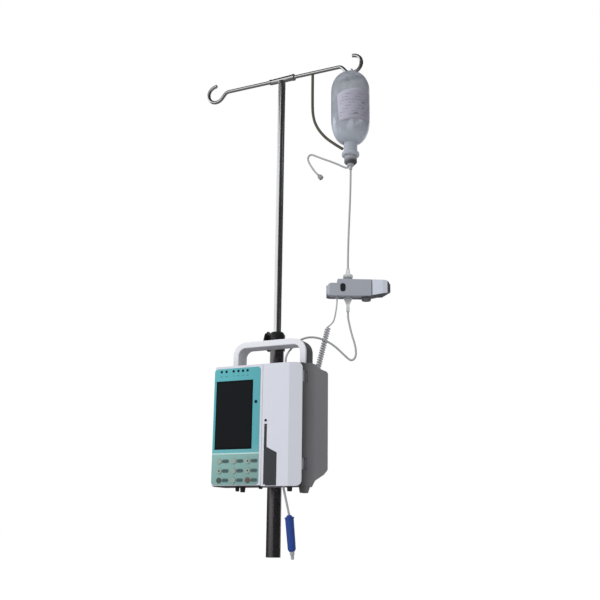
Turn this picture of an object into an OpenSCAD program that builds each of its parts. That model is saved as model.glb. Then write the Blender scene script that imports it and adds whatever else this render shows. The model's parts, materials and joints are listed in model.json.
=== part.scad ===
// Drip stand with an infusion pump: a two-part pole with hooks, a bottle on its line, and a clamped pump.
// Millimetres, +Z up. The origin is the centre of the pole's lower end, and the pump faces -Y.

/* [Pole] */
// Outer diameter of the lower tube
lower_d = 28; // [24:1:32]
// Wall of the lower tube
lower_wall = 2; // [1.5:0.5:3]
// Height of the lower tube's top end
lower_h = 405; // [395:1:410]
// Depth that the lower end goes into a base socket
socket_depth = 55; // [40:5:90]
// Outer diameter of the upper tube
upper_d = 16; // [14:1:18]
// Wall of the upper tube
upper_wall = 1.5; // [1:0.5:2]
// Height of the upper tube's lower end
upper_foot = 180; // [170:5:220]
// Height of the crossbar's axis
bar_z = 999; // [960:1:1040]
// Diameter of the crossbar and hook rod
rod_d = 8; // [6:1:9]
// Radius of each hook's bend
hook_r = 20; // [18:1:24]
// Distance from the pole to where a hook starts to bend
hook_start = 132.8; // [120:0.1:140]
// Length of the sleeve that holds both rods
sleeve_len = 55; // [45:1:65]
// Diameter of the sleeve
sleeve_d = 13.6; // [13:0.2:16]

/* [Collar] */
// Height of the collar that joins the tubes
collar_h = 37; // [32:1:42]
// Wall of the collar round the lower tube
collar_wall = 2; // [1.5:0.5:4]
// Diameter of the lock knob
knob_d = 41; // [34:1:46]
// Thickness of the lock knob
knob_t = 10; // [8:1:14]
// Diameter of the lock knob's screw
knob_screw_d = 8; // [6:1:10]

/* [Bottle and drip set] */
// Diameter of the bottle
bottle_d = 80; // [70:1:82]
// Wall of the bottle
bottle_wall = 1.2; // [0.8:0.1:2]
// Diameter of the bottle's neck
neck_d = 28; // [26:1:30]
// Diameter of the ring on the neck
neck_ring_d = 36; // [34:1:40]
// Diameter of the bottle's cap
cap_d = 26; // [24:1:28]
// Level of the liquid above the neck's mouth
liquid_h = 118; // [80:1:130]
// Outer diameter of the drip line
line_d = 4; // [3.4:0.1:4.4]
// Outer diameter of the bottle's tether
tether_d = 6; // [5:0.5:7]
// Outer diameter of the drip chamber
chamber_d = 18; // [16:0.5:19]

/* [Drop sensor] */
// Length of the sensor on the pivot's grip side of the chamber
sensor_grip = 81; // [76:1:90]
// Length of the sensor on the jaw side of the chamber
sensor_jaw = 42; // [36:1:46]
// Height of the sensor
sensor_h = 34; // [30:1:38]
// Depth of each half of the sensor
sensor_t = 14; // [13:0.5:16]
// Diameter of the sensor's cord
cord_d = 3; // [2.6:0.1:3.2]
// Curls in the sensor's cord
curls = 20; // [16:1:22]
// Radius of the curls at the cord's middle
curl_r = 4.4; // [4:0.1:5]

/* [Pump] */
// Left side of the pump
pump_x0 = -54; // [-58:1:-50]
// Right side of the pump
pump_x1 = 121; // [118:1:126]
// Bottom of the pump
pump_z0 = 124; // [120:1:128]
// Top of the pump
pump_z1 = 341; // [338:1:345]
// Depth of the pump's front half, from its face to the seam
front_t = 12; // [11:0.5:13]
// Depth of the pump from its face to its back
pump_depth = 132; // [128:1:134]
// Wall of the shells
shell_wall = 2.5; // [2:0.5:3]
// Width of the panel side, up to the door
panel_w = 101; // [99:1:103]
// Diameter of the keys
key_d = 9.5; // [8:0.5:10]
// Travel of the keys
key_travel = 0.8; // [0.5:0.1:1]
// Depth of the handle
handle_depth = 34; // [28:1:36]
// Height of the handle above the pump
handle_rise = 55; // [48:1:60]
// Thickness of the handle's band
handle_band = 12; // [10:1:14]

/* [Drive and clamp] */
// Fingers that press the line
finger_count = 12; // [8:1:12]
// Teeth of the camshaft's gear
gear_teeth = 40; // [36:4:40]
// Teeth of the motor's pinion
pinion_teeth = 12; // [12:1:14]
// Size of the gear teeth
gear_module = 1; // [0.9:0.1:1]
// Travel of the clamp's jaw
jaw_travel = 6; // [4:0.5:6]

/* [Hidden] */
KEYS = [for (i = [1:9]) str("key_", i)];
$fn = 64;
// Radial clearance of a running or sliding fit
run = 0.05;
// Gap between pieces that move past each other
gap = 0.4;

// Pole
lower_r = lower_d / 2;
upper_r = upper_d / 2;
rod_r = rod_d / 2;
sleeve_r = sleeve_d / 2;
mark_w = 1;
mark_deep = 0.4;
tube_bore_r = lower_r - lower_wall;
bush_h = 30;
neck_drop = 14;
spigot_h = 30;
rod_gap = 2;

// Hooks: a short bend down, a straight, then a long bend up and round
bend_r = 12;
bend_a = 50;
bend_s = (hook_r * cos(bend_a) - bend_r * (1 - cos(bend_a))) / sin(bend_a);
hook_x = hook_start + (bend_r + hook_r) * sin(bend_a) + bend_s * cos(bend_a);
hook_low = bar_z - hook_r;

// Collar and lock knob
collar_z = lower_h - 8;
collar_r = lower_r + collar_wall;
collar_top_r = upper_r + 4.5;
knob_z = collar_z + 20;
knob_r = knob_d / 2;
knob_screw_r = knob_screw_d / 2;
knob_x = collar_r + gap;

// Bottle, hung by a wire staple across the groove in its base, a little off its middle
hang_off = 5;
bottle_x = hook_x - hang_off;
bottle_r = bottle_d / 2;
hang_r = 1.6;
hang_z = hook_low + rod_r + 0.3 + hang_r;
groove_w = rod_d + 5;
staple_y = groove_w / 2 + hang_r + 0.1;
groove_z = hook_low - rod_r - 9;
dome_h = 43;
dome_z = hook_low - 0.7 - dome_h;
shoulder_z = dome_z - 65;
neck_z = shoulder_z - 50.3;
mouth_z = neck_z - 30;
ring_z = mouth_z + 4;
cap_bottom = mouth_z - 17;
spike_z = cap_bottom - 12;

// Drip chamber and the sensor that grips it
chamber_x = 153;
chamber_r = chamber_d / 2;
chamber_z0 = 490;
chamber_z1 = 536;
nozzle_z = 463;
cone_z = 551;
port_r = 3.2;
sensor_turn = 27;
sensor_z0 = 492;
sensor_z1 = sensor_z0 + sensor_h;
sensor_mid = 0.4;
// The jaw's nose is lower than the rest
nose_drop = 8.5;
nose_u = -22;
sensor_pivot = 36;
sensor_pin_r = 2;
knuckle_r = 5.5;
knuckle_h = sensor_h / 3;
gland_u = -22;
gland_v = -7;
gland_r = 3.2;
gland_h = 5;

// Pump case
back_gap = 4;
back_y = -lower_r - back_gap;
face_y = back_y - pump_depth;
seam_y = face_y + front_t;
split_x = pump_x0 + panel_w;
edge_r = 6;
door_gap = 0.6;
door_x0 = split_x + door_gap;
facet_x = pump_x1 - 21;
film_t = 0.6;
lcd = [[pump_x0 + 4, pump_z0 + 65], [pump_x0 + 82, pump_z1 - 27.5]];
lcd_t = 3;
lcd_flange = 1.2;
key_r = key_d / 2;
key_xs = [pump_x0 + 17.5, pump_x0 + 47, pump_x0 + 75.5];
key_zs = [pump_z0 + 44, pump_z0 + 27, pump_z0 + 10.5];
key_proud = 2;
key_flange = 1;
lamp_xs = [for (x = [16, 26, 41, 51, 60.5, 70]) pump_x0 + x];
lamp_z = pump_z1 - 10;
lamp_r = 1.7;
eye = [pump_x0 + 88.5, pump_z1 - 68];
top_step = 5.5;
// Where the case's foot starts to lift, and where its top steps up and down
keel_y = seam_y + 44;
keel_lift_y = seam_y + 58;
tail_y = back_y - 22;
crest_y0 = seam_y + 36;
crest_y1 = seam_y + 62;
crest_run = 10;

// Door, hinge and latch
hinge_x = pump_x1 - 7;
hinge_y = seam_y + 9;
hinge_r = 5.6;
hinge_pin_r = 2;
// The rear edge of the door is hollowed to this radius, so that it swings past the side wall
hinge_sweep = 11.75;
hinge_zs = [[pump_z0 + 28, pump_z0 + 49], [pump_z1 - 34, pump_z1 - 12]];
pin_seat = 6;
notch_back = hinge_y + 13;
lever_x = door_x0 + 7.3;
lever_r = 2.4;
lever_y = face_y + 2.2;
lever_t = 3;
lever_z0 = pump_z0 + 3;
lever_top = pump_z0 + 108;
lever_out = lever_x + 22.6;
paddle_z0 = pump_z0 + 57;
paddle_z1 = paddle_z0 + 10;
lever_pts = [[lever_x, lever_z0], [lever_out, lever_z0], [lever_out, paddle_z0],
    [lever_x + lever_r, paddle_z1],
    [lever_x, paddle_z1]];
lever_pin_r = 1;
lever_pin_top = pump_z0 + 116;
dot_z = lever_pin_top - 2;
dot_r = 1.8;

// Line inside the pump
line_r = line_d / 2;
line_x = pump_x1 - 36;
block_y = seam_y + 0.6;
line_y = block_y + 2.6;
inlet_z = pump_z1 + 6;
outlet_z = pump_z0 - 2;

// Drive
cam_y = block_y + 10.5 + gear_module * (gear_teeth / 2 + 0.9);
cam_r = 6.5;
cam_off = 1.5;
cam_shaft_r = 4;
finger_p = 8;
finger_z0 = pump_z0 + 60;
finger_w = 8;
drive_z0 = finger_z0 - 8;
drive_z1 = finger_z0 + finger_count * finger_p + 4;
bearing_t = 5;
gear_z = drive_z1 + bearing_t + 1.5;
gear_t = 6;
mesh_play = 0.2;
motor_y = cam_y + gear_module * (gear_teeth + pinion_teeth) / 2 + mesh_play;
motor_w = 36;
motor_h = 48;

// Clamp on the pump's back
clamp_z = pump_z0 + 111;
clamp_h = 44;
clamp_half = 30;
cradle_y = -5;
arm_t = 12;
jaw_y0 = lower_r + 0.3;
jaw_y1 = jaw_y0 + 16;
rear_bar_y = jaw_y1 + jaw_travel + 0.8;
rear_bar_t = 10;
screw_r = 5;
screw_tip = jaw_y0 + 4 + jaw_travel;
clamp_knob_r = 19;
clamp_knob_t = 18;

// Cord routes, as points along their middles
vent_x = bottle_x - 6.1;
vent_z = cap_bottom - 6.2;
vent_pts = [for (p = [[0, 0, 0], [-4, 0, 0], [-10.9, -1.5, 3.2], [-18.2, -3, 7.6], [-26.7, -5, 12],
    [-35.2, -7, 16.3], [-44.9, -9, 20.8], [-53.8, -10, 25.2], [-61.3, -11, 29.2], [-67.8, -11, 32.8],
    [-72.8, -12, 35.4], [-77.5, -12, 36.6], [-81.3, -12, 35.4], [-83.5, -12, 31.6], [-83.9, -12, 26.6],
    [-81.6, -12, 19.9], [-77.7, -12, 12.4], [-72.6, -12, 3.9], [-67, -12, -3.8], [-60.2, -12, -11.6]])
    p + [vent_x, 0, vent_z]];
vent_d = 4;
tether_x = 73;
tether_pts = [for (p = [[0, -rod_r - 0.4], [0, -14], [0, -29], [0, -49], [0.2, -69], [0.6, -86],
    [2, -100],
    [4.8, -113], [9, -124], [15, -135.5], [23, -147], [32.8, -158.5], [42.5, -167.5], [53, -176.5],
    [61, -183], [69, -189.3]]) [tether_x + p.x, 0, bar_z + p.y]];
drip_steps = 15;
function ease(t) = t * t * (3 - 2 * t);
drip_z = spike_z - gap;
drip_pts = [for (i = [0:drip_steps]) let (t = i / drip_steps)
    [bottle_x + (chamber_x - bottle_x) * ease(t), 0, drip_z + (cone_z - drip_z) * t]];
// The pump line hangs from the chamber, climbs over the pump's side, and dips under the handle to
// the inlet
loop_pts = [[153, 0, 463], [153, 0, 456], [154.5, -2, 447], [157.5, -4, 436], [161, -6, 424],
    [165, -8, 412],
    [169, -9, 400], [172, -10, 389], [173.5, -11, 379], [172.5, -12, 370], [168, -13, 364.5],
        [162, -14, 365],
    [155, -15, 371], [147, -17, 379], [138, -20, 388], [128, -25, 396.5], [116, -32, 403.5],
        [103, -40, 407.5],
    [90, -47, 407.5], [79, -53, 403.5]];
handle_y = seam_y + 37;
dip_y = handle_y + handle_depth;
dip_pts = [for (p = [[-12.5, 9.5, 55.5], [-15.5, 6.5, 47], [-16.2, 1.5, 38.5], [-15.5, -7, 33],
    [-13.5, -19, 29],
    [-10.5, -31, 26], [-7, -42, 22.5]]) p + [line_x, dip_y, pump_z1]];
inlet_pts = [for (p = [[-3.5, 14.8, 12.5], [-1, 5.8, 8.5], [-0.2, 1.4, 5.5], [0, 0, 2.5], [0, 0, 0]])
    p + [line_x, line_y, inlet_z]];
pump_pts = concat(loop_pts, dip_pts, inlet_pts);
outlet_pts = [for (p = [[0, 0], [0, -6], [1, -12.5], [3, -19.5], [5.6, -26.5], [8.2, -33], [10.2, -38.5],
    [11.2, -43], [11.6, -46.9]]) [line_x + p.x, line_y, outlet_z + p.y]];
sheath_lean = 6;
sheath_top = [line_x + 11.6, line_y, outlet_z - 47];
sheath_len = 61;
tip_len = 13;

// Sensor cord: out of the gland, into the curls, then down into the plug
cord_lead = [[136.6, -16.2, 487], [136.6, -16.2, 483], [135.8, -15.5, 476], [132.8, -12.5, 464],
    [128.5, -8.5, 452], [122.5, -4, 443.5]];
curl_top = [111, 0, 436];
curl_low = [83, 9, 347];
plug_top = [81, 9, 338];
plug_z = 318;
plug_r = 8;
function unit(v) = v / norm(v);
curl_axis = unit(curl_low - curl_top);
curl_u = unit(cross([0, 1, 0], curl_axis));
curl_v = cross(curl_axis, curl_u);
curl_start = -70;
curl_rings = 8;
curl_ease = curl_rings * 0.75;
function curl_grow(i) = min(1, min(i, curls * curl_rings - i) / curl_ease + 0.25);
function curl_pt(i) = let (a = curl_start + i * 360 / curl_rings, g = curl_r * curl_grow(i))
    curl_top + (curl_low - curl_top) * i / (curls * curl_rings) + g * (curl_u * cos(a) + curl_v * sin(a));
curl_pts = [for (i = [0:curls * curl_rings]) curl_pt(i)];
cord_pts = concat(cord_lead, curl_pts, [[81, 9, 342], plug_top]);
curl_gap = min([for (i = [0:len(curl_pts) - 1]) for (j = [i + 5:1:min(i + 12, len(curl_pts) - 1)])
    norm(curl_pts[i] - curl_pts[j])]) - cord_d;
echo(curl_gap = curl_gap);

// A tube of n sides along points, as one closed mesh
function tangents(p) = [for (i = [0:len(p) - 1]) unit(p[min(i + 1, len(p) - 1)] - p[max(i - 1, 0)])];
function carry(u, t) = unit(u - (u * t) * t);
function first_side(t) = carry(abs(t.y) < 0.9 ? [0, 1, 0] : [1, 0, 0], t);
function sides(t) = [for (i = 0, u = first_side(t[0]); i < len(t); i = i + 1,
    u = i < len(t) ? carry(u, t[i]) : u) u];
module tube(p, d, n) {
    t = tangents(p);
    s = sides(t);
    m = len(p);
    ring = [for (i = [0:m - 1]) for (k = [0:n - 1])
        p[i] + d / 2 * (s[i] * cos(360 * k / n) + cross(t[i], s[i]) * sin(360 * k / n))];
    wall = [for (i = [0:m - 2]) for (k = [0:n - 1]) let (a = i * n + k, b = i * n + (k + 1) % n)
        for (f = [[a, b, b + n], [a, b + n, a + n]]) f];
    low = [for (k = [1:n - 2]) [0, k + 1, k]];
    high = [for (k = [1:n - 2]) [(m - 1) * n, (m - 1) * n + k, (m - 1) * n + k + 1]];
    polyhedron([for (q = ring) q], [for (f = concat(wall, low, high)) [f[2], f[1], f[0]]]);
}

// Helpers
module bar_x(r, x0, x1) { translate([x0, 0, 0]) rotate([0, 90, 0]) cylinder(r = r, h = x1 - x0); }
module bar_y(r, y0, y1) { translate([0, y0, 0]) rotate([-90, 0, 0]) cylinder(r = r, h = y1 - y0); }
module box(a, b) { translate(a) cube(b - a); }
module rounded(w, h, r) {
    translate([r, 0]) square([w - 2 * r, h]);
    translate([0, r]) square([w, h - 2 * r]);
    for (x = [r, w - r], y = [r, h - r]) translate([x, y]) circle(r);
}
// An outline drawn as X and Z, standing from y0 to y1
module standing(y0, y1) { translate([0, y1, 0]) rotate([90, 0, 0]) linear_extrude(y1 - y0) children(); }
// An outline drawn as Y and Z, running from x0 to x1
module running(x0, x1) { translate([x0, 0, 0]) rotate([90, 0, 90]) linear_extrude(x1 - x0) children(); }

// Pole
module lower_tube() {
    color([0.42, 0.42, 0.44]) difference() {
        cylinder(r = lower_r, h = lower_h);
        translate([0, 0, -1]) cylinder(r = tube_bore_r, h = lower_h + 2);
        translate([0, 0, socket_depth]) difference() {
            cylinder(r = lower_r + 1, h = mark_w);
            translate([0, 0, -1]) cylinder(r = lower_r - mark_deep, h = mark_w + 2);
        }
    }
}

module collar() {
    color([0.08, 0.08, 0.09]) difference() {
        union() {
            translate([0, 0, collar_z]) cylinder(r = collar_r, h = collar_h - 6);
            translate([0, 0, collar_z + collar_h - 6]) cylinder(r1 = collar_r, r2 = collar_top_r, h = 6);
        }
        translate([0, 0, collar_z - 1]) cylinder(r = lower_r + run / 2, h = lower_h - collar_z + 1);
        translate([0, 0, collar_z]) cylinder(r = upper_r + run, h = collar_h + 1);
        translate([0, 0, knob_z]) bar_x(knob_screw_r + run, -collar_r - 1, 0);
    }
}

module lock_knob() {
    color([0.07, 0.07, 0.08]) translate([0, 0, knob_z]) {
        bar_x(knob_screw_r, -knob_x - 1, -upper_r - 0.3);
        difference() {
            translate([-knob_x, 0, 0]) rotate([0, -90, 0]) rotate_extrude()
                polygon([[0, 0], [knob_r - 5, 0], [knob_r, 2], [knob_r, 3.5], [10, knob_t], [0, knob_t]]);
            for (a = [30:60:330]) rotate([a, 0, 0]) translate([0, 0, knob_r + 3])
                bar_x(6, -knob_x - knob_t - 1, -knob_x + 1);
        }
    }
}

module upper_tube() {
    color([0.8, 0.81, 0.83]) translate([0, 0, upper_foot]) difference() {
        cylinder(r = upper_r, h = bar_z - neck_drop - upper_foot);
        translate([0, 0, -1]) cylinder(r = upper_r - upper_wall, h = bar_z);
    }
}

module guide_bush() {
    color([0.9, 0.9, 0.86]) translate([0, 0, upper_foot]) difference() {
        cylinder(r = tube_bore_r - run, h = bush_h);
        translate([0, 0, -1]) cylinder(r = upper_r, h = bush_h + 2);
    }
}

module t_fitting() {
    color([0.78, 0.79, 0.81]) difference() {
        union() {
            translate([0, 0, bar_z]) bar_x(sleeve_r, -sleeve_len / 2, sleeve_len / 2);
            translate([0, 0, bar_z]) for (m = [-1, 1])
                bar_x(sleeve_r + 0.7, m * sleeve_len / 2 - 2, m * sleeve_len / 2 + 2);
            translate([0, 0, bar_z - neck_drop]) cylinder(r = upper_r, h = neck_drop - rod_r);
            translate([0, 0, bar_z - neck_drop - spigot_h])
                cylinder(r = upper_r - upper_wall - run / 2, h = spigot_h + 1);
        }
        translate([0, 0, bar_z]) bar_x(rod_r + run / 2, -sleeve_len, sleeve_len);
    }
}

// One hook rod on the +X side: straight, bend down, straight, then the long bend round to the tip
arc_step = 10;
function arc_pt(c, r, a) = [c.x + r * cos(a), 0, c.y + r * sin(a)];
hook_pts = concat(
    [[rod_gap, 0, bar_z], [hook_start / 2, 0, bar_z]],
    [for (a = [0:arc_step:bend_a]) arc_pt([hook_start, bar_z - bend_r], bend_r, 90 - a)],
    [for (a = [0:arc_step:180 + bend_a]) arc_pt([hook_x, bar_z], hook_r, a - 90 - bend_a)]);
module hook() { tube(hook_pts, rod_d, 16); }
module hook_right() { color([0.72, 0.73, 0.75]) hook(); }
module hook_left() { color([0.72, 0.73, 0.75]) mirror([1, 0, 0]) hook(); }

// Bottle: half outline from the mouth up to the dome, drawn in by w
steps = 8;
function dome_pts(w) = [for (i = [0:steps]) let (a = 90 * i / steps)
    [(bottle_r - w) * pow(cos(a), 0.8), dome_z + (dome_h - w) * sin(a)]];
function shoulder_pts(w) = [for (i = [0:steps]) let (a = 90 * i / steps)
    [neck_d / 2 - w + (bottle_d - neck_d) / 2 * sin(a),
        neck_z + w + (shoulder_z - neck_z - w) * (1 - cos(a))]];
function bottle_pts(w) = concat([[0, mouth_z], [neck_d / 2 - w, mouth_z]], shoulder_pts(w), dome_pts(w));

module hang_groove(extra) {
    half = groove_w / 2 + extra;
    box([bottle_x - bottle_r - 1, -half, groove_z - extra],
        [bottle_x + bottle_r + 1, half, hang_z + dome_h]);
}

module bottle() {
    color([0.82, 0.84, 0.88, 0.6]) {
        difference() {
            union() {
                translate([bottle_x, 0, 0]) rotate_extrude() polygon(bottle_pts(0));
                translate([bottle_x, 0, ring_z]) rotate_extrude()
                    polygon([[0, -4], [neck_ring_d / 2 - 2, -4], [neck_ring_d / 2, -2],
                        [neck_ring_d / 2, 2],
                        [neck_ring_d / 2 - 2, 4], [0, 4]]);
            }
            difference() {
                translate([bottle_x, 0, -0.01]) rotate_extrude() polygon(bottle_pts(bottle_wall));
                hang_groove(bottle_wall);
            }
            hang_groove(0);
        }
        translate([hook_x, 0, hang_z]) {
            bar_y(hang_r, -staple_y, staple_y);
            for (y = [-staple_y, staple_y]) translate([0, y, groove_z - hang_z]) {
                cylinder(r = hang_r, h = hang_z - groove_z);
                translate([0, 0, hang_z - groove_z]) sphere(r = hang_r);
            }
        }
    }
}

module saline() {
    w = bottle_wall + 0.3;
    color([0.75, 0.8, 0.82, 0.4]) intersection() {
        translate([bottle_x, 0, 0]) rotate_extrude() polygon(bottle_pts(w));
        box([bottle_x - bottle_r, -bottle_r, mouth_z + 0.3],
            [bottle_x + bottle_r, bottle_r, mouth_z + liquid_h]);
    }
}

module bottle_cap() {
    color([0.75, 0.75, 0.76]) translate([bottle_x, 0, 0]) rotate_extrude()
        polygon([[0, cap_bottom], [cap_d / 2 - 3, cap_bottom], [cap_d / 2, cap_bottom + 3],
            [cap_d / 2, mouth_z - 0.05], [0, mouth_z - 0.05]]);
}

module spike() {
    color([0.92, 0.93, 0.94]) {
        translate([bottle_x, 0, spike_z]) cylinder(r1 = port_r, r2 = 5, h = cap_bottom - spike_z);
        translate([bottle_x, 0, cap_bottom - 4]) cylinder(r = 7, h = 4);
        translate([0, 0, vent_z]) bar_x(2.3, vent_x + run, bottle_x);
    }
}

module tether() { color([0.36, 0.34, 0.28]) tube(tether_pts, tether_d, 10); }
module vent_tube() { color([0.9, 0.91, 0.93]) tube(vent_pts, vent_d, 8); }

module vent_filter() {
    last = vent_pts[len(vent_pts) - 1];
    way = last - vent_pts[len(vent_pts) - 2];
    lean = atan2(way.x, way.z);
    color([0.93, 0.94, 0.95]) translate(last) rotate([0, lean, 0]) {
        cylinder(r = 3, h = 4);
        translate([0, 0, 4]) cylinder(r = 5, h = 7);
    }
}

module drip_line() { color([0.87, 0.88, 0.9]) tube(drip_pts, line_d, 8); }

module drip_chamber() {
    wall = 1;
    color([0.85, 0.87, 0.9, 0.5]) translate([chamber_x, 0, 0]) rotate_extrude()
        polygon([[0, cone_z], [port_r, cone_z], [4.5, chamber_z1 + 4], [chamber_r + 0.7, chamber_z1 + 1],
            [chamber_r + 0.7, chamber_z1 - 3], [chamber_r, chamber_z1 - 3], [chamber_r, chamber_z0],
            [port_r, chamber_z0 - 13], [port_r, nozzle_z], [0, nozzle_z], [0, chamber_z0 - 11],
            [chamber_r - wall, chamber_z0 + wall], [chamber_r - wall, chamber_z1 - 3],
                [0, chamber_z1 - 3]]);
}

module pump_line() { color([0.75, 0.75, 0.76]) tube(pump_pts, line_d, 8); }

module pump_segment() {
    color([0.86, 0.86, 0.84]) translate([line_x, line_y, outlet_z])
        cylinder(r = line_r, h = inlet_z - outlet_z);
}

module outlet_line() { color([0.8, 0.8, 0.82]) tube(outlet_pts, line_d, 8); }

module end_sheath() {
    color([0.14, 0.25, 0.55]) translate(sheath_top) rotate([0, 180 - sheath_lean, 0]) {
        cylinder(r1 = 3.5, r2 = 6.5, h = 3.5);
        translate([0, 0, 3.5]) cylinder(r = 8.4, h = 2.5);
        translate([0, 0, 6]) cylinder(r1 = 7.6, r2 = 7, h = sheath_len - 10);
        translate([0, 0, sheath_len - 4]) cylinder(r1 = 7, r2 = 4.5, h = 4);
    }
}

module luer_tip() {
    color([0.62, 0.63, 0.65]) translate(sheath_top) rotate([0, 180 - sheath_lean, 0]) {
        translate([0, 0, sheath_len]) cylinder(r = 4.2, h = 5);
        translate([0, 0, sheath_len + 5]) cylinder(r1 = 3.2, r2 = 2.4, h = tip_len - 5);
    }
}

// Drop sensor, drawn along u with the chamber at zero
module at_sensor() { translate([chamber_x, 0, 0]) rotate(sensor_turn) children(); }
module slab(z0, z1) { translate([0, 0, z0]) linear_extrude(z1 - z0) children(); }
module knuckle(z0, z1) { slab(z0, z1) translate([sensor_pivot, 0]) circle(knuckle_r); }
module sensor_bores() {
    slab(sensor_z0 - 1, sensor_z1 + 1) circle(chamber_r + gap);
    slab(sensor_z0 - 1, sensor_z1 + 1) translate([sensor_pivot, 0]) circle(sensor_pin_r + run);
}
module knuckle_room(z0, z1) { slab(z0, z1) translate([sensor_pivot, 0]) circle(knuckle_r + gap); }

module sensor_housing() {
    end_r = 9;
    color([0.72, 0.73, 0.76]) at_sensor() difference() {
        union() {
            intersection() {
                slab(sensor_z0, sensor_z1) polygon([[-sensor_jaw + 5, -sensor_t],
                    [sensor_grip - 14, -sensor_t],
                    [sensor_grip, -sensor_t + 4], [sensor_grip, -sensor_t + 7],
                        [sensor_pivot + 8, -sensor_mid],
                    [-sensor_jaw, -sensor_mid], [-sensor_jaw, -sensor_t + 5]]);
                standing(-sensor_t, 0) {
                    translate([-sensor_jaw, sensor_z0]) rounded(sensor_jaw, sensor_h - nose_drop, end_r);
                    translate([nose_u, sensor_z0]) rounded(sensor_grip - 12 - nose_u, sensor_h, 3);
                    translate([0, sensor_z0 + 5]) rounded(sensor_grip, sensor_h - 5, end_r);
                }
            }
            knuckle(sensor_z0, sensor_z0 + knuckle_h);
            knuckle(sensor_z1 - knuckle_h, sensor_z1);
            slab(sensor_z0 - gland_h, sensor_z0 + 1) translate([gland_u, gland_v]) circle(gland_r);
        }
        sensor_bores();
        knuckle_room(sensor_z0 + knuckle_h, sensor_z1 - knuckle_h);
    }
}

module sensor_lever() {
    color([0.3, 0.3, 0.32]) at_sensor() difference() {
        union() {
            slab(sensor_z0, sensor_z1 - 2) polygon([[-sensor_jaw, sensor_mid],
                [sensor_pivot + 2, sensor_mid],
                [sensor_grip, sensor_t - 6], [sensor_grip + 4, sensor_t - 6],
                    [sensor_grip + 4, sensor_t - 1],
                [sensor_grip - 10, sensor_t], [-sensor_jaw + 5, sensor_t], [-sensor_jaw, sensor_t - 5]]);
            knuckle(sensor_z0 + knuckle_h + gap, sensor_z1 - knuckle_h - gap);
        }
        sensor_bores();
        slab(sensor_z1 - nose_drop - 2, sensor_z1)
            translate([-sensor_jaw - 1, -1]) square([sensor_jaw + nose_u + 2, sensor_t + 2]);
        standing(sensor_mid - 1, sensor_t + 1) polygon([[40, sensor_z0 - 1], [40, sensor_z0],
            [sensor_grip - 8, sensor_z0 + 7.5], [sensor_grip + 5, sensor_z0 + 15.5],
            [sensor_grip + 5, sensor_z0 - 1]]);
        knuckle_room(sensor_z0 - 1, sensor_z0 + knuckle_h + gap);
        knuckle_room(sensor_z1 - knuckle_h - gap, sensor_z1 + 1);
    }
}

module sensor_pin() {
    head_r = 9;
    color([0.4, 0.4, 0.41]) at_sensor() translate([sensor_pivot, 0, 0]) {
        translate([0, 0, sensor_z0 - 6]) cylinder(r = head_r, h = 6 - gap);
        translate([0, 0, sensor_z0 - 1]) cylinder(r = sensor_pin_r, h = sensor_h + 1);
    }
}

module sensor_cord() { color([0.5, 0.51, 0.53]) tube(cord_pts, cord_d, 6); }

module sensor_plug() {
    color([0.12, 0.12, 0.13]) {
        translate([plug_top.x, 0, plug_z]) bar_y(plug_r, back_y, plug_top.y + 8);
        translate([plug_top.x, plug_top.y, plug_z]) cylinder(r = 5, h = plug_top.z - plug_z);
    }
}

// Rear shell: a side outline that lifts at the back's foot, cut by a plan with round corners
function side_pts(w) = [[seam_y - 1, pump_z0 + w], [keel_y, pump_z0 + w], [keel_lift_y, pump_z0 + 12 + w],
    [tail_y, pump_z0 + 25 + w], [back_y - 7 - w / 2, pump_z0 + 33.5 + w * 0.8],
    [back_y - 2.2 - w * 0.8, pump_z0 + 38 + w * 0.6], [back_y - w, pump_z0 + 43.5 + w / 4],
    [back_y - w, pump_z1 - 13], [back_y - 1.6 - w * 0.8, pump_z1 - 6.5 - w / 4],
    [back_y - 5.5 - w / 2, pump_z1 - 1.6 - w * 0.6], [back_y - 11, pump_z1 - w + 1],
        [crest_y1 + crest_run, pump_z1 - w + 1],
        [crest_y1, pump_z1 + top_step - w],
    [crest_y0, pump_z1 + top_step - w], [seam_y + crest_run, pump_z1 - w], [seam_y - 1, pump_z1 - w]];
module case_plan(w) {
    translate([pump_x0 + w, seam_y]) square([pump_x1 - pump_x0 - 2 * w,
        pump_depth - front_t - edge_r - w]);
    translate([pump_x0 + w, seam_y]) rounded(pump_x1 - pump_x0 - 2 * w, pump_depth - front_t - w, edge_r);
}
module case_block(w) {
    intersection() {
        running(pump_x0 + w, pump_x1 - w) polygon(side_pts(w));
        translate([0, 0, pump_z0 - 1]) linear_extrude(pump_z1 - pump_z0 + 40) case_plan(w);
    }
}
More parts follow.
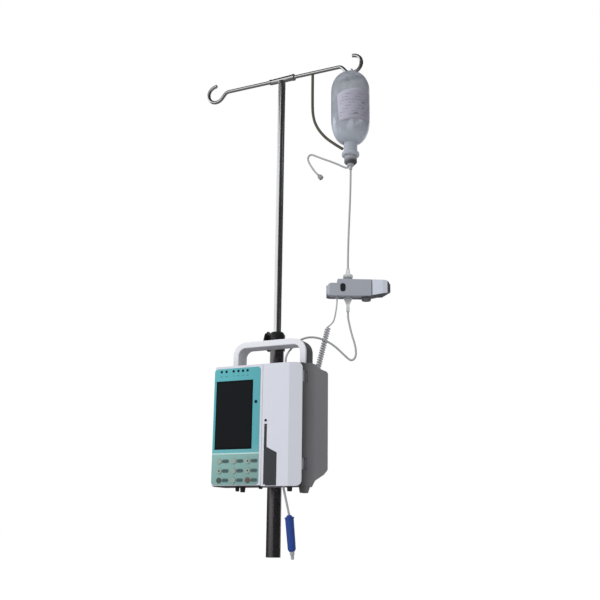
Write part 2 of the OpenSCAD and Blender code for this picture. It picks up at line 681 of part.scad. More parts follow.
// Room for a hinge knuckle and its arm
module hinge_notch(z0, z1) {
    box([hinge_x - hinge_r - gap, seam_y - 2, z0], [pump_x1 + 1, notch_back, z1]);
}
module hinge_boss(z0, z1) {
    box([hinge_x - hinge_r - 3, seam_y, z0 - pin_seat - 2],
        [pump_x1 - 1, notch_back + 3, z1 + pin_seat + 2]);
}
inlet = [[38, pump_z0 + 52], [66, pump_z0 + 72]];
module rear_shell() {
    color([0.42, 0.42, 0.44]) difference() {
        union() {
            difference() {
                case_block(0);
                case_block(shell_wall);
                box([pump_x0 + shell_wall, seam_y - 2, pump_z0 + shell_wall],
                    [pump_x1 - shell_wall, seam_y + 12, pump_z1 - shell_wall]);
            }
            for (z = hinge_zs) hinge_boss(z[0], z[1]);
            running(pump_x1 - 9, pump_x1 - 1)
                polygon([for (p = [[7, 1], [12, -11], [30, -11], [39, 1]]) p + [seam_y, pump_z0]]);
        }
        for (z = hinge_zs) {
            hinge_notch(z[0], z[1]);
            translate([hinge_x, hinge_y, z[0] - pin_seat])
                cylinder(r = hinge_pin_r, h = z[1] - z[0] + 2 * pin_seat);
        }
        box([inlet[0].x, back_y - 10, inlet[0].y], [inlet[1].x, back_y + 1, inlet[1].y]);
        translate([line_x, line_y, pump_z0 - 1]) cylinder(r = line_r + gap, h = 6);
        translate([line_x, line_y, pump_z1 - 6]) cylinder(r = line_r + gap, h = 10);
        for (x = [line_x - line_r - gap], z = [pump_z0 - 1, pump_z1 - 6])
            box([x, seam_y - 2, z], [x + line_d + 2 * gap, line_y, z + 10]);
    }
}

// Front shell on the panel side, open at its back
module panel_outline() {
    translate([pump_x0, pump_z0]) rounded(panel_w, pump_z1 - pump_z0, edge_r);
    translate([split_x - 10, pump_z0]) square([10, pump_z1 - pump_z0]);
}
module key_holes(r) { for (x = key_xs, z = key_zs) translate([x, z]) circle(r); }
module lcd_outline(extra) {
    translate([lcd[0].x - extra, lcd[0].y - extra])
        square([lcd[1].x - lcd[0].x + 2 * extra, lcd[1].y - lcd[0].y + 2 * extra]);
}
module lamp_holes(r) {
    for (x = lamp_xs) translate([x, lamp_z]) circle(r);
    translate(eye) circle(r + 0.4);
}
module front_shell() {
    color([0.86, 0.87, 0.9]) difference() {
        intersection() {
            standing(face_y, seam_y) panel_outline();
            translate([0, 0, pump_z0]) linear_extrude(pump_z1 - pump_z0) {
                translate([pump_x0, face_y]) rounded(panel_w, front_t + edge_r, edge_r);
                translate([split_x - 10, face_y]) square([10, front_t]);
            }
        }
        box([pump_x0 + shell_wall, face_y + shell_wall, pump_z0 + shell_wall],
            [split_x - shell_wall, seam_y + 1, pump_z1 - shell_wall]);
        standing(face_y - 1, face_y + shell_wall + 1) {
            key_holes(key_r + run);
            lcd_outline(run);
        }
    }
}

module overlay() {
    inset = 1.5;
    color([0.33, 0.72, 0.75]) standing(face_y - film_t, face_y) difference() {
        translate([pump_x0 + inset, pump_z0 + 2.5]) rounded(panel_w - 6, pump_z1 - pump_z0 - 7, edge_r);
        key_holes(key_r + run);
        lcd_outline(run);
        lamp_holes(lamp_r);
    }
}

module lcd_window() {
    color([0.09, 0.1, 0.11]) {
        standing(face_y - film_t + 0.1, face_y + shell_wall) lcd_outline(0);
        standing(face_y + shell_wall, face_y + shell_wall + lcd_t) lcd_outline(lcd_flange);
    }
}

// Keys are numbered by rows, from the top left
module key(i) {
    at = [key_xs[(i - 1) % 3], 0, key_zs[floor((i - 1) / 3)]];
    tint = i == 7 ? [0.25, 0.28, 0.27] : i == 9 ? [0.45, 0.3, 0.27] : [0.85, 0.86, 0.8];
    color(tint) translate(at) {
        bar_y(key_r, face_y - key_proud, face_y + shell_wall + 2);
        bar_y(key_r + 1, face_y + shell_wall + 0.3, face_y + shell_wall + 0.3 + key_flange);
    }
}

// Handle: a light front and inner band, and a grey band behind it
handle_x0 = pump_x0 + 11;
handle_x1 = pump_x1 - 12;
handle_bend = 26;
handle_lip = 6;
band_in = 4.5;
module arch(w) {
    translate([handle_x0 + w, pump_z1 - 1])
        square([handle_x1 - handle_x0 - 2 * w, handle_rise - handle_bend + 1]);
    translate([handle_x0 + handle_bend, pump_z1 - 1])
        square([handle_x1 - handle_x0 - 2 * handle_bend, handle_rise - w + 1]);
    for (x = [handle_x0 + handle_bend, handle_x1 - handle_bend])
        translate([x, pump_z1 + handle_rise - handle_bend]) circle(handle_bend - w);
}
// Cuts the handle's feet to the pump's stepped top
module above_case() {
    difference() {
        children();
        running(handle_x0 - 1, handle_x1 + 1) polygon(side_pts(-run));
    }
}
module handle_front() {
    color([0.88, 0.89, 0.91]) above_case() {
        standing(handle_y, handle_y + handle_lip) difference() { arch(0); arch(handle_band); }
        standing(handle_y + handle_lip, handle_y + handle_depth)
            difference() { arch(handle_band - band_in); arch(handle_band); }
    }
}
module handle_rear() {
    color([0.36, 0.36, 0.39]) above_case() standing(handle_y + handle_lip + 0.05, handle_y + handle_depth)
        difference() { arch(0); arch(handle_band - band_in - 0.05); }
}

module feet() {
    foot_y = seam_y + 9;
    color([0.06, 0.06, 0.07]) for (f = [[-10, 4, 8], [1, 5, 9.5], [37, 4, 4], [line_x + 9, 5, 8.5]])
        translate([f.x, foot_y, pump_z0 - f[2]]) cylinder(r1 = f.y - 0.8, r2 = f.y, h = f[2]);
}

// Screws that hold the rear shell, sunk in its back
module case_screws() {
    color([0.5, 0.5, 0.52]) for (x = [pump_x0 + 12, pump_x1 - 12], z = [pump_z0 + 60, pump_z1 - 24])
        translate([x, 0, z]) bar_y(3.2, back_y, back_y + 1.6);
}

// Door
module door_plan(w) {
    polygon([[door_x0 + w, face_y + w], [facet_x - w / 2, face_y + w], [pump_x1 - w, seam_y - 2 + w / 2],
        [pump_x1 - w, seam_y - 0.4], [door_x0 + w, seam_y - 0.4]]);
}
module lever_room(extra) {
    translate([lever_x, lever_y, lever_z0 - extra])
        cylinder(r = lever_r + extra, h = lever_top - lever_z0 + 2 * extra);
    standing(face_y - 1, lever_y + lever_t / 2 + extra)
        polygon([[lever_x, lever_z0 - extra], [lever_out + extra, lever_z0 - extra],
            [lever_out + extra, paddle_z0 + extra],
            [lever_x + lever_r, paddle_z1 + 2 * extra], [lever_x, paddle_z1 + 2 * extra]]);
    box([lever_x - lever_r - extra, face_y - 1, lever_z0 - extra],
        [lever_x + lever_r + extra, lever_y, lever_top + extra]);
}
module door() {
    backing = 4;
    color([0.86, 0.87, 0.9]) difference() {
        union() {
            difference() {
                translate([0, 0, pump_z0]) linear_extrude(pump_z1 - pump_z0) door_plan(0);
                translate([0, 0, pump_z0 + shell_wall])
                    linear_extrude(pump_z1 - pump_z0 - 2 * shell_wall) door_cavity();
                translate([hinge_x, hinge_y, pump_z0 - 1])
                    cylinder(r = hinge_sweep, h = pump_z1 - pump_z0 + 2);
            }
            box([door_x0 + 1, face_y + 1, pump_z0 + 1],
                [lever_out + 4, face_y + 5 + backing, paddle_z1 + 5]);
            box([door_x0 + 1, face_y + 1, paddle_z1 - 1],
                [lever_x + 7, face_y + 5 + backing, lever_pin_top + 6]);
            for (z = hinge_zs) hinge_arm(z[0] + gap, z[1] - gap);
        }
        lever_room(gap);
        translate([lever_x, lever_y, pump_z0 + 0.5])
            cylinder(r = lever_pin_r, h = lever_pin_top - pump_z0);
        translate([lever_x, 0, dot_z]) bar_y(dot_r, face_y - 1, lever_y);
        for (z = hinge_zs) translate([hinge_x, hinge_y, z[0] - 1])
            cylinder(r = hinge_pin_r + run, h = z[1] - z[0] + 2);
    }
}
module door_cavity() {
    intersection() {
        door_plan(shell_wall);
        translate([0, face_y]) square([pump_x1, front_t + 5]);
    }
    translate([door_x0 + shell_wall, seam_y - 1]) square([pump_x1 - door_x0 - 2 * shell_wall - 8, 2]);
}
module hinge_arm(z0, z1) {
    translate([0, 0, z0]) linear_extrude(z1 - z0) {
        translate([hinge_x, hinge_y]) circle(hinge_r);
        intersection() {
            translate([hinge_x - 3.5, seam_y - 8]) square([hinge_r + 3.5, hinge_y - seam_y + 8]);
            union() {
                door_plan(0.3);
                translate([hinge_x - hinge_r, seam_y - 1]) square([2 * hinge_r, hinge_y - seam_y + 1]);
            }
        }
    }
}

module door_pins() {
    color([0.7, 0.7, 0.72]) for (z = hinge_zs) translate([hinge_x, hinge_y, z[0] - pin_seat])
        cylinder(r = hinge_pin_r, h = z[1] - z[0] + 2 * pin_seat);
}

module latch_lever() {
    color([0.28, 0.28, 0.3]) difference() {
        union() {
            translate([lever_x, lever_y, lever_z0]) cylinder(r = lever_r, h = lever_top - lever_z0);
            standing(lever_y - lever_r, lever_y - lever_r + lever_t) polygon(lever_pts);
        }
        translate([lever_x, lever_y, lever_z0 - 1])
            cylinder(r = lever_pin_r + run, h = lever_top - lever_z0 + 2);
    }
}

module latch_pin() {
    color([0.08, 0.08, 0.09]) {
        translate([lever_x, lever_y, pump_z0 + 0.5])
            cylinder(r = lever_pin_r, h = lever_pin_top - pump_z0);
        translate([lever_x, 0, dot_z]) bar_y(dot_r, face_y - 0.3, lever_y);
    }
}

module platen() {
    half = 7;
    ridge = 1.8;
    press_y = line_y - line_r - 0.3;
    plate_y = block_y - gap;
    color([0.6, 0.61, 0.63]) {
        box([line_x - half, plate_y - 2, drive_z0 + 4], [line_x + half, plate_y, drive_z1 - 2]);
        box([line_x - ridge, plate_y - 1, drive_z0 + 4], [line_x + ridge, press_y, drive_z1 - 2]);
        for (z = [drive_z0 + 18, drive_z1 - 18])
            translate([line_x, 0, z]) bar_y(3.5, face_y + shell_wall, plate_y - 1);
    }
}

// Pump drive
module chassis() {
    x0 = split_x + 3;
    x1 = hinge_x - hinge_r - 4;
    back = block_y + 9;
    color([0.16, 0.16, 0.17]) difference() {
        union() {
            box([x0, block_y, pump_z0 + shell_wall + 0.3], [x1, back, pump_z1 - shell_wall - 0.3]);
            for (z = [drive_z0 - bearing_t, drive_z1])
                box([line_x - 9, back - 1, z], [line_x + 9, cam_y + 7, z + bearing_t]);
        }
        translate([line_x, line_y, 0]) cylinder(r = line_r + 0.3, h = 500);
        box([line_x - line_r - 0.3, block_y - 1, 0], [line_x + line_r + 0.3, line_y, 500]);
        box([line_x - finger_w / 2 - 0.3, block_y - 1, finger_z0 - 0.5],
            [line_x + finger_w / 2 + 0.3, back + 1, finger_z0 + finger_count * finger_p]);
        translate([line_x, cam_y, 0]) cylinder(r = cam_shaft_r + run, h = 500);
    }
}

module fingers() {
    reach = line_y + line_r + 0.3;
    rear = cam_y - cam_r - cam_off - 0.3;
    color([0.85, 0.85, 0.82]) for (i = [0:finger_count - 1])
        box([line_x - finger_w / 2, reach, finger_z0 + i * finger_p],
            [line_x + finger_w / 2, rear, finger_z0 + i * finger_p + finger_p - 0.6]);
}

// A straight-flanked gear outline
module gear_outline(n, m, turn) {
    r = n * m / 2;
    p = 360 / n;
    polygon([for (i = [0:n - 1]) for (c = [[-0.30, -1.2], [-0.11, 0.9], [0.11, 0.9], [0.30, -1.2]])
        let (a = turn + (i + c.x) * p, q = r + c.y * m) [q * cos(a), q * sin(a)]]);
}

module camshaft() {
    color([0.62, 0.62, 0.64]) translate([line_x, cam_y, 0]) {
        translate([0, 0, drive_z0 - bearing_t - 1])
            cylinder(r = cam_shaft_r, h = gear_z + gear_t - drive_z0 + bearing_t + 1);
        for (i = [0:finger_count - 1]) let (a = i * 360 / finger_count)
            translate([cam_off * cos(a), cam_off * sin(a), finger_z0 + i * finger_p])
                cylinder(r = cam_r, h = finger_p - 0.6);
        translate([0, 0, gear_z]) linear_extrude(gear_t) gear_outline(gear_teeth, gear_module, 90);
    }
}

module motor() {
    color([0.2, 0.2, 0.22]) difference() {
        union() {
            box([line_x - motor_w / 2, motor_y - motor_w / 2, gear_z - 3 - motor_h],
                [line_x + motor_w / 2, motor_y + motor_w / 2, gear_z - 3]);
            box([line_x - motor_w / 2, block_y + 9, drive_z1 - 24],
                [line_x - motor_w / 2 + 4, motor_y, drive_z1]);
            box([line_x + motor_w / 2 - 4, block_y + 9, drive_z1 - 24],
                [line_x + motor_w / 2, motor_y, drive_z1]);
        }
        translate([line_x, motor_y, gear_z - 3 - 20]) cylinder(r = 2.5 + run, h = 40);
        translate([line_x, cam_y, drive_z0]) cylinder(r = cam_r + cam_off + 1.5, h = gear_z - drive_z0);
    }
}

module motor_pinion() {
    color([0.75, 0.65, 0.35]) translate([line_x, motor_y, 0]) {
        translate([0, 0, gear_z - 20]) cylinder(r = 2.5, h = 20 + gear_t);
        translate([0, 0, gear_z]) linear_extrude(gear_t)
            gear_outline(pinion_teeth, gear_module, -90 + 180 / pinion_teeth);
    }
}

// Pole clamp
module clamp_body() {
    outer = rear_bar_y + rear_bar_t;
    color([0.13, 0.13, 0.14]) difference() {
        union() {
            box([-clamp_half, back_y, clamp_z - clamp_h / 2],
                [clamp_half, cradle_y, clamp_z + clamp_h / 2]);
            box([-clamp_half - arm_t + 6, back_y, clamp_z - clamp_h / 2],
                [-clamp_half + 6, outer, clamp_z + clamp_h / 2]);
            box([-clamp_half, rear_bar_y, clamp_z - clamp_h / 2], [14, outer, clamp_z + clamp_h / 2]);
        }
        translate([0, 0, clamp_z - clamp_h]) cylinder(r = lower_r + run / 2, h = 2 * clamp_h);
        translate([0, 0, clamp_z]) bar_y(screw_r + run, 0, outer + 1);
    }
}

module clamp_jaw() {
    half = 11;
    color([0.45, 0.45, 0.47]) difference() {
        box([-half, jaw_y0 - 6, clamp_z - 14], [half, jaw_y1, clamp_z + 14]);
        translate([0, 0, clamp_z - 20]) cylinder(r = lower_r + 0.3, h = 40);
        translate([0, 0, clamp_z]) bar_y(screw_r + run, jaw_y0 + 3, jaw_y1 + 1);
    }
}

module clamp_screw() {
    outer = rear_bar_y + rear_bar_t;
    color([0.09, 0.09, 0.1]) translate([0, 0, clamp_z]) {
        bar_y(screw_r, screw_tip, outer + 2);
        bar_y(screw_r + 3, outer + 0.4, outer + 3);
        difference() {
            bar_y(clamp_knob_r, outer + 2.5, outer + 2.5 + clamp_knob_t);
            for (a = [0:45:315]) rotate([0, a, 0]) translate([clamp_knob_r + 3, 0, 0])
                bar_y(6, outer, outer + clamp_knob_t + 4);
        }
    }
}

// Inside the case
// Two boards joined by a step, on studs behind the screen
module main_board() {
    board_t = 1.6;
    step = 3;
    stud_r = 2;
    inset = 4;
    y0 = face_y + shell_wall + key_travel + 4;
    x0 = pump_x0 + shell_wall + 1;
    x1 = split_x - shell_wall - 1;
    step_z = lcd[0].y - 8;
    color([0.1, 0.35, 0.2]) {
        box([x0, y0, pump_z0 + shell_wall + 1], [x1, y0 + board_t, step_z]);
        box([x0, y0 + step, step_z - inset], [x1, y0 + step + board_t, pump_z1 - shell_wall - 1]);
        box([x0, y0 + board_t / 2, step_z - inset], [x1, y0 + step + board_t / 2, step_z]);
        for (x = [lcd[0].x + inset, lcd[1].x - inset], z = [lcd[0].y + inset, lcd[1].y - inset])
            translate([x, 0, z]) bar_y(stud_r, face_y + shell_wall + lcd_t + run,
                y0 + step + board_t / 2);
    }
}

module battery() {
    pack = [57.5, 71.45, 72];
    corner = [pump_x0 + shell_wall + edge_r, back_y - shell_wall - run - pack.y, pump_z0 + 46];
    color([0.2, 0.3, 0.5]) box(corner, corner + pack);
}

module mains_inlet() {
    color([0.05, 0.05, 0.06]) difference() {
        union() {
            box([inlet[0].x, back_y - 20, inlet[0].y], [inlet[1].x, back_y, inlet[1].y]);
            box([inlet[0].x - 4, back_y, inlet[0].y - 4], [inlet[1].x + 4, back_y + 2, inlet[1].y + 4]);
        }
        box([inlet[0].x + 3, back_y - 15, inlet[0].y + 3], [inlet[1].x - 3, back_y + 3, inlet[1].y - 3]);
    }
}

lower_tube();
collar();
lock_knob();
upper_tube();
guide_bush();
t_fitting();
hook_left();
hook_right();
bottle();
saline();
bottle_cap();
spike();
tether();
vent_tube();
vent_filter();
drip_line();
drip_chamber();
pump_line();
pump_segment();
outlet_line();
end_sheath();
luer_tip();
sensor_housing();
sensor_lever();
sensor_pin();
sensor_cord();
sensor_plug();
rear_shell();
front_shell();
handle_front();
handle_rear();
overlay();
lcd_window();
feet();
case_screws();
door();
door_pins();
latch_lever();
latch_pin();
platen();
for (i = [1:9]) key(i);
chassis();
camshaft();
fingers();
motor();
motor_pinion();
clamp_body();
clamp_jaw();
clamp_screw();
main_board();
battery();
mains_inlet();
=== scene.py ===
"""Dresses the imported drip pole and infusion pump: finishes, softened edges, lines, bottle and stage."""

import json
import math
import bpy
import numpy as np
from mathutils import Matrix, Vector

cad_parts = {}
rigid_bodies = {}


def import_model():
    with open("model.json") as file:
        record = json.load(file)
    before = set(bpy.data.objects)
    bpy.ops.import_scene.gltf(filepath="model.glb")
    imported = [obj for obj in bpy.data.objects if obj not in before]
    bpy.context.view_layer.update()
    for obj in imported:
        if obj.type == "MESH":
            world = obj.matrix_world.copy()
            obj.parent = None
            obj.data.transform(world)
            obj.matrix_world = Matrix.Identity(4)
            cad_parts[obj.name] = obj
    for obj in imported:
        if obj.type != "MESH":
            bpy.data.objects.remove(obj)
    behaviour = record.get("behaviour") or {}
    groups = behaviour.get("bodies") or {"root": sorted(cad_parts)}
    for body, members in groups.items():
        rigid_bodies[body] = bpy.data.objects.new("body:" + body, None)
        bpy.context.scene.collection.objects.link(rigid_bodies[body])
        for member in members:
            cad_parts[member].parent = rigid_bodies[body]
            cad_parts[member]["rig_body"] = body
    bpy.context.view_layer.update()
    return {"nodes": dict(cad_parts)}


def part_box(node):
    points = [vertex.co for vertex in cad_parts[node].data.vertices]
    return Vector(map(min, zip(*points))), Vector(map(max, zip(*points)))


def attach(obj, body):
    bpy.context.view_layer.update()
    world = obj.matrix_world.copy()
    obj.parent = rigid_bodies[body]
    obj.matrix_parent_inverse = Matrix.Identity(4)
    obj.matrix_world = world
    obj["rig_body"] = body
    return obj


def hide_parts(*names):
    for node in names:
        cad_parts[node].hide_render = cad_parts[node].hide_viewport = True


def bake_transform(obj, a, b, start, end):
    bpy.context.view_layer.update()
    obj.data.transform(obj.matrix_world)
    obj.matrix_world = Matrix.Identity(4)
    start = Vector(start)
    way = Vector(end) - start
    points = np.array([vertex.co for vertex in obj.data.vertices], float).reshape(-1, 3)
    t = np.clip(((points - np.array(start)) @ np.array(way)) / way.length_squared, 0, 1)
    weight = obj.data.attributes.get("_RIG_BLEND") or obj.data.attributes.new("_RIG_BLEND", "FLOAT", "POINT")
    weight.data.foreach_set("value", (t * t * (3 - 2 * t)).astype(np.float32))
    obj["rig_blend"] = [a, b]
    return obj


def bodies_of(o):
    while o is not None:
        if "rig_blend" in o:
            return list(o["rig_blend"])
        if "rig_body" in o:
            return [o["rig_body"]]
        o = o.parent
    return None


bl_info = {
    "name": "Drip Pole with Pump",
    "version": (1, 0, 0),
    "blender": (4, 5, 0),
    "location": "View3D > Sidebar > Drip Pole",
    "description": "Dresses a telescopic drip pole with its hung bottle, drop sensor and infusion pump",
    "category": "Object",
}

import bmesh
import bpy
from mathutils import Matrix, Vector

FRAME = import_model()
NODES = FRAME["nodes"]
MM = 0.001

# Material slot of each node, the softening of its edges in millimetres, and its finish where that
# isn't the slot's own
PIECES = {
    "lower_tube": ("lower_chrome", 0.3),
    "collar": ("black_plastic", 0.6),
    "lock_knob": ("black_plastic", 0.5),
    "upper_tube": ("chrome", 0),
    "guide_bush": ("finger_plastic", 0.3),
    "t_fitting": ("chrome", 0.4),
    "hook_left": ("chrome", 0, "rod_chrome"),
    "hook_right": ("chrome", 0, "rod_chrome"),
    "saline": ("saline", 0),
    "bottle_cap": ("cap_rubber", 0.6),
    "spike": ("white_plastic", 0.3, "tip_grey"),
    "vent_filter": ("white_plastic", 0.4, "filter_grey"),
    "drip_chamber": ("clear_plastic", 0, "chamber_wall"),
    "end_sheath": ("blue_plastic", 0.4),
    "luer_tip": ("tip_grey", 0.3),
    "sensor_housing": ("sensor_grey", 1.5),
    "sensor_lever": ("dark_grey_plastic", 0.8, "pin_grey"),
    "sensor_pin": ("dark_grey_plastic", 0.4, "pin_grey"),
    "sensor_plug": ("black_plastic", 0.8),
    "rear_shell": ("case_grey", 0.8),
    "front_shell": ("white_plastic", 0.8, "panel_white"),
    "handle_front": ("white_plastic", 1.6, "handle_white"),
    "handle_rear": ("dark_grey_plastic", 1.2),
    "overlay": ("cyan_film", 0.15),
    "lcd_window": ("dark_glass", 0.3),
    "feet": ("rubber_black", 0.5),
    "case_screws": ("steel", 0.2),
    "door": ("white_plastic", 1.0, "door_white"),
    "door_pins": ("steel", 0.2),
    "latch_lever": ("dark_grey_plastic", 0.4),
    "latch_pin": ("black_plastic", 0.2),
    "platen": ("steel", 0.3),
    "chassis": ("dark_grey_plastic", 0.4),
    "camshaft": ("steel", 0),
    "fingers": ("finger_plastic", 0.3),
    "motor": ("dark_grey_plastic", 0.6),
    "motor_pinion": ("brass", 0),
    "clamp_body": ("black_plastic", 1.0),
    "clamp_jaw": ("cast_alloy", 0.5),
    "clamp_screw": ("black_metal", 0.6),
    "main_board": ("board_green", 0),
    "battery": ("battery_wrap", 0.8),
    "mains_inlet": ("black_plastic", 0.4),
    "pump_segment": ("line_pvc", 0),
}
KEY_SLOTS = {7: "key_olive", 9: "key_red"}
KEY_EDGE = 0.8
DOTTED_KEYS = (3, 4, 6)
DOT_SHIFT = 0.3

# Routes of the lines and cords, in millimetres
TETHER = [(73 + x, 0, 999 + z) for x, z in (
    (0, -4.4), (0, -14), (0, -29), (0, -49), (0.2, -69), (0.6, -86), (2, -100), (4.8, -113),
    (9, -124), (15, -135.5), (23, -147), (32.8, -158.5), (42.5, -167.5), (53, -176.5),
    (61, -183), (69, -189.3))]
VENT = [(153.404 + x, y, 766.8 + z) for x, y, z in (
    (0, 0, 0), (-4, 0, 0), (-10.9, -1.5, 3.2), (-18.2, -3, 7.6),
    (-26.7, -5, 12), (-35.2, -7, 16.3), (-44.9, -9, 20.8), (-53.8, -10, 25.2),
    (-61.3, -11, 29.2), (-67.8, -11, 32.8), (-72.8, -12, 35.4), (-77.5, -12, 36.6),
    (-81.3, -12, 35.4), (-83.5, -12, 31.6), (-83.9, -12, 26.6), (-81.6, -12, 19.9),
    (-77.7, -12, 12.4), (-72.6, -12, 3.9), (-67, -12, -3.8), (-60.2, -12, -11.6))]
DRIP_TOP = (159.504, 0, 760.6)
DRIP_END = (153, 0, 551)
PUMP_LOOP = [
    (153, 0, 463), (153, 0, 456), (154.5, -2, 447), (157.5, -4, 436), (161, -6, 424),
    (165, -8, 412), (169, -9, 400), (172, -10, 389), (173.5, -11, 379), (172.5, -12, 370),
    (168, -13, 364.5), (162, -14, 365), (155, -15, 371), (147, -17, 379), (138, -20, 388),
    (128, -25, 396.5), (116, -32, 403.5), (103, -40, 407.5), (90, -47, 407.5), (79, -53, 403.5)]
# Where the loop stops following the mast and stays with the pump
LOOP_HOLD = (123.4, 0, 403.8)
PUMP_DIP = [(85 + x, y - 67, 341 + z) for x, y, z in (
    (-17.8, 10.5, 55.5), (-22.1, 8, 48.5), (-24, 4, 42.5), (-23.3, -3, 38.2),
    (-17.9, -17, 33.8), (-10.8, -34, 28.3))]
PUMP_INLET = [(85 + x, y - 134.8, 347 + z) for x, y, z in (
    (-6, 20, 16.8), (-2.8, 10, 11.5), (-0.9, 3.5, 7), (0, 0, 2.5), (0, 0, 0))]
OUTLET = [(85 + x, -134.8, 122 + z) for x, z in (
    (0, 0), (0.4, -3), (1.7, -8), (3.5, -15), (5.3, -22), (7.1, -29), (8.9, -36), (10.4, -42),
    (11.6, -46.9))]
CORD_LEAD = [
    (136.6, -16.2, 487), (136.6, -16.2, 483), (135.8, -15.5, 476), (132.8, -12.5, 464),
    (128.5, -8.5, 452), (122.5, -4, 443.5)]
CURL_TOP = Vector((111, 0, 436))
CURL_LOW = Vector((83, 9, 347))
CORD_TAIL = Vector((81, 9, 342))
PLUG_TOP = Vector((81, 9, 338))

# Bottle, in millimetres
BOTTLE_X = 159.504
BOTTLE_R = 40
NECK_R = 14
RING_R = 18
DOME_Z = 935.3
DOME_H = 43
SHOULDER_Z = 870.3
NECK_Z = 820
MOUTH_Z = 790
RING_Z = 794
GROOVE_Z = 966
GROOVE_HALF = 6.5
STAPLE = (164.504, 8.2, 984.9)
STAPLE_R = 1.6
# Heights over which the painted reflection streaks come in
REFLECTION_STREAK_Z = (875, 858)
PALE_NECK_Z = (860, 830)

# Sensor's own frame: along its jaw and out of its front face, about the drip chamber
SENSOR_TURN = math.radians(27)
SENSOR_FACE = -14
# Left, low, right, top and corner radius of what is set on the sensor's face
SENSOR_WINDOW = (-16.2, 500.5, -5.8, 517, 4.6)
# The groove's painted shade: a grey strip set on the face
SENSOR_GROOVE = (44.6, 493.6, 46.6, 524.4, 0.8)

# Where a finish changes over its piece, in millimetres
# Painted shade on the rear shell behind the front shell: where it is darkest, half gone and gone
SEAM_SHADE_DARK_Y, SEAM_SHADE_MID_Y, SEAM_SHADE_CLEAR_Y = -136, -112, -78
# Hinge notches in the rear shell, which painted light makes paler
NOTCH_X, NOTCH_Z, NOTCH_BACK_Y = (100, 119.8), (140, 336), -115.5
DOOR_BACK_Y = -138.5
# Span of the film from left to right, over which its painted light gives way to painted shade
FILM_X = (-54, 47)
FILM_LOW_Z, KEYS_TOP_Z = 124, 181
KEYS_FADE_Z = (200, 182)
PALE_LINE_Z, PALE_LINE_HALF = 181.5, 0.9
# Top of the painted shade along the front shell's bottom edge
LIP_SHADE_TOP_Z = 125.4
DISPLAY_X, DISPLAY_Z = -11, 251.5
DISPLAY_HALF_W, DISPLAY_HALF_H = 35.5, 58.5
BORDER_X = -48
CAP_FACE_Z, CAP_BAND_Z = 777.5, 784
END_CAP_U, END_RIM_U = 45.6, 76.5
# Rim along the sensor's underside and the span of its tone, partly painted shade
RIM_RISE_U, RIM_RISE, RIM_Z = 40, 7.5, 493
RIM_TONE_U = (10, 50)

# Prints on the pump's film, in millimetres
LAMP_XS, LAMP_Z = (-38, -28, -13, -3, 6.5, 16), 331
DASH_XS, DASH_Z = (-39, -37, -29, -27, -13, -4, -1.5, 5, 8, 15, 17), 322
LIGHT_EYE_XZ = (34.5, 273)
KEY_TO_MARK = 12.6
MARK_DASHES = (-3.8, -1.4, 1.4, 3.6)
# Width, height, corner radius and thickness of the marks, in millimetres
LAMP_DASH = (1.7, 1.4, 0.3, 0.05)
LIGHT_EYE = (5.8, 5.8, 2.9, 0.3)
LATCH_EYE = (5.2, 5.2, 2.6, 0.1)
KEY_DOT = (3.4, 3.4, 1.7, 0.08)
KEY_DASH = (1.7, 1.6, 0.3, 0.04)
STROKE = (5.4, 0.8, 0.2, 0.1)
BOLD_STROKE = (4.2, 1.6, 0.4, 0.1)


def srgb(red, green, blue):
    """A colour written as it shows on screen, 0 to 255, as linear light."""
    return tuple(
        (c / 255 / 12.92) if c <= 10 else ((c / 255 + 0.055) / 1.055) ** 2.4
        for c in (red, green, blue)
    )


def colour_prop(name, words, value):
    """A colour that a user may change."""
    return bpy.props.FloatVectorProperty(
        name=name, description=words, default=value, size=3, subtype="COLOR", min=0, max=1
    )


def length_prop(name, words, size):
    """A length in millimetres that a user may change."""
    return bpy.props.FloatProperty(
        name=name, description=words, default=size * MM, subtype="DISTANCE", unit="LENGTH"
    )


class DRIP_PG_sizes(bpy.types.PropertyGroup):
    """Sizes of what the dressing adds."""

    softness: bpy.props.FloatProperty(
        name="Edge softness", description="Scale of the rounding on moulded edges",
        default=1.0, min=0.0, max=1.5)
    line_d: length_prop("Line diameter", "Outer diameter of the drip lines", 4)
    tether_d: length_prop("Tether diameter", "Diameter of the rubber tether", 6)
    cord_d: length_prop("Cord diameter", "Diameter of the sensor's curly cord", 3)
    curl_r: length_prop("Curl radius", "Radius of the curly cord's turns", 4.4)
    curls: bpy.props.IntProperty(
        name="Curls", description="Turns of the curly cord", default=20, min=4, max=40)
    lamp_r: length_prop("Lamp radius", "Radius of the status lamps", 2.4)
    mark_w: length_prop("Key mark width", "Width of the pill mark beside each key", 14)
    mark_h: length_prop("Key mark height", "Height of the pill mark beside each key", 6.6)


class DRIP_PG_colours(bpy.types.PropertyGroup):
    """Colours of the main finishes."""

    white: colour_prop("White", "Front shell and door", srgb(213, 216, 226))
    # A whiter copy of the white plastic: partly the handle's own tone, partly painted light that lifts its
    # shaded inside
    handle: colour_prop("Handle", "Front of the handle", srgb(234, 236, 242))
    grey: colour_prop("Case grey", "Rear shell of the pump", srgb(125, 124, 130))
    dark_grey: colour_prop("Dark grey", "Latch, handle band and pump drive", srgb(53, 55, 60))
    cyan: colour_prop("Cyan", "Film round the screen", srgb(86, 170, 179))
    keypad: colour_prop("Keypad", "Film round the keys", srgb(140, 182, 177))
    screen: colour_prop("Screen", "Screen window", srgb(19, 22, 25))
    blue: colour_prop("Sheath blue", "Sheath on the line's end", srgb(38, 70, 150))
    tether: colour_prop("Tether", "Rubber tether", srgb(82, 78, 67))
    sensor: colour_prop("Sensor", "Sensor housing", srgb(166, 171, 181))
    line: colour_prop("Line", "Drip lines", srgb(170, 171, 174))
    bottle: colour_prop("Bottle", "Bottle wall", srgb(150, 156, 166))
    label: colour_prop("Label", "Bottle label", srgb(167, 166, 181))


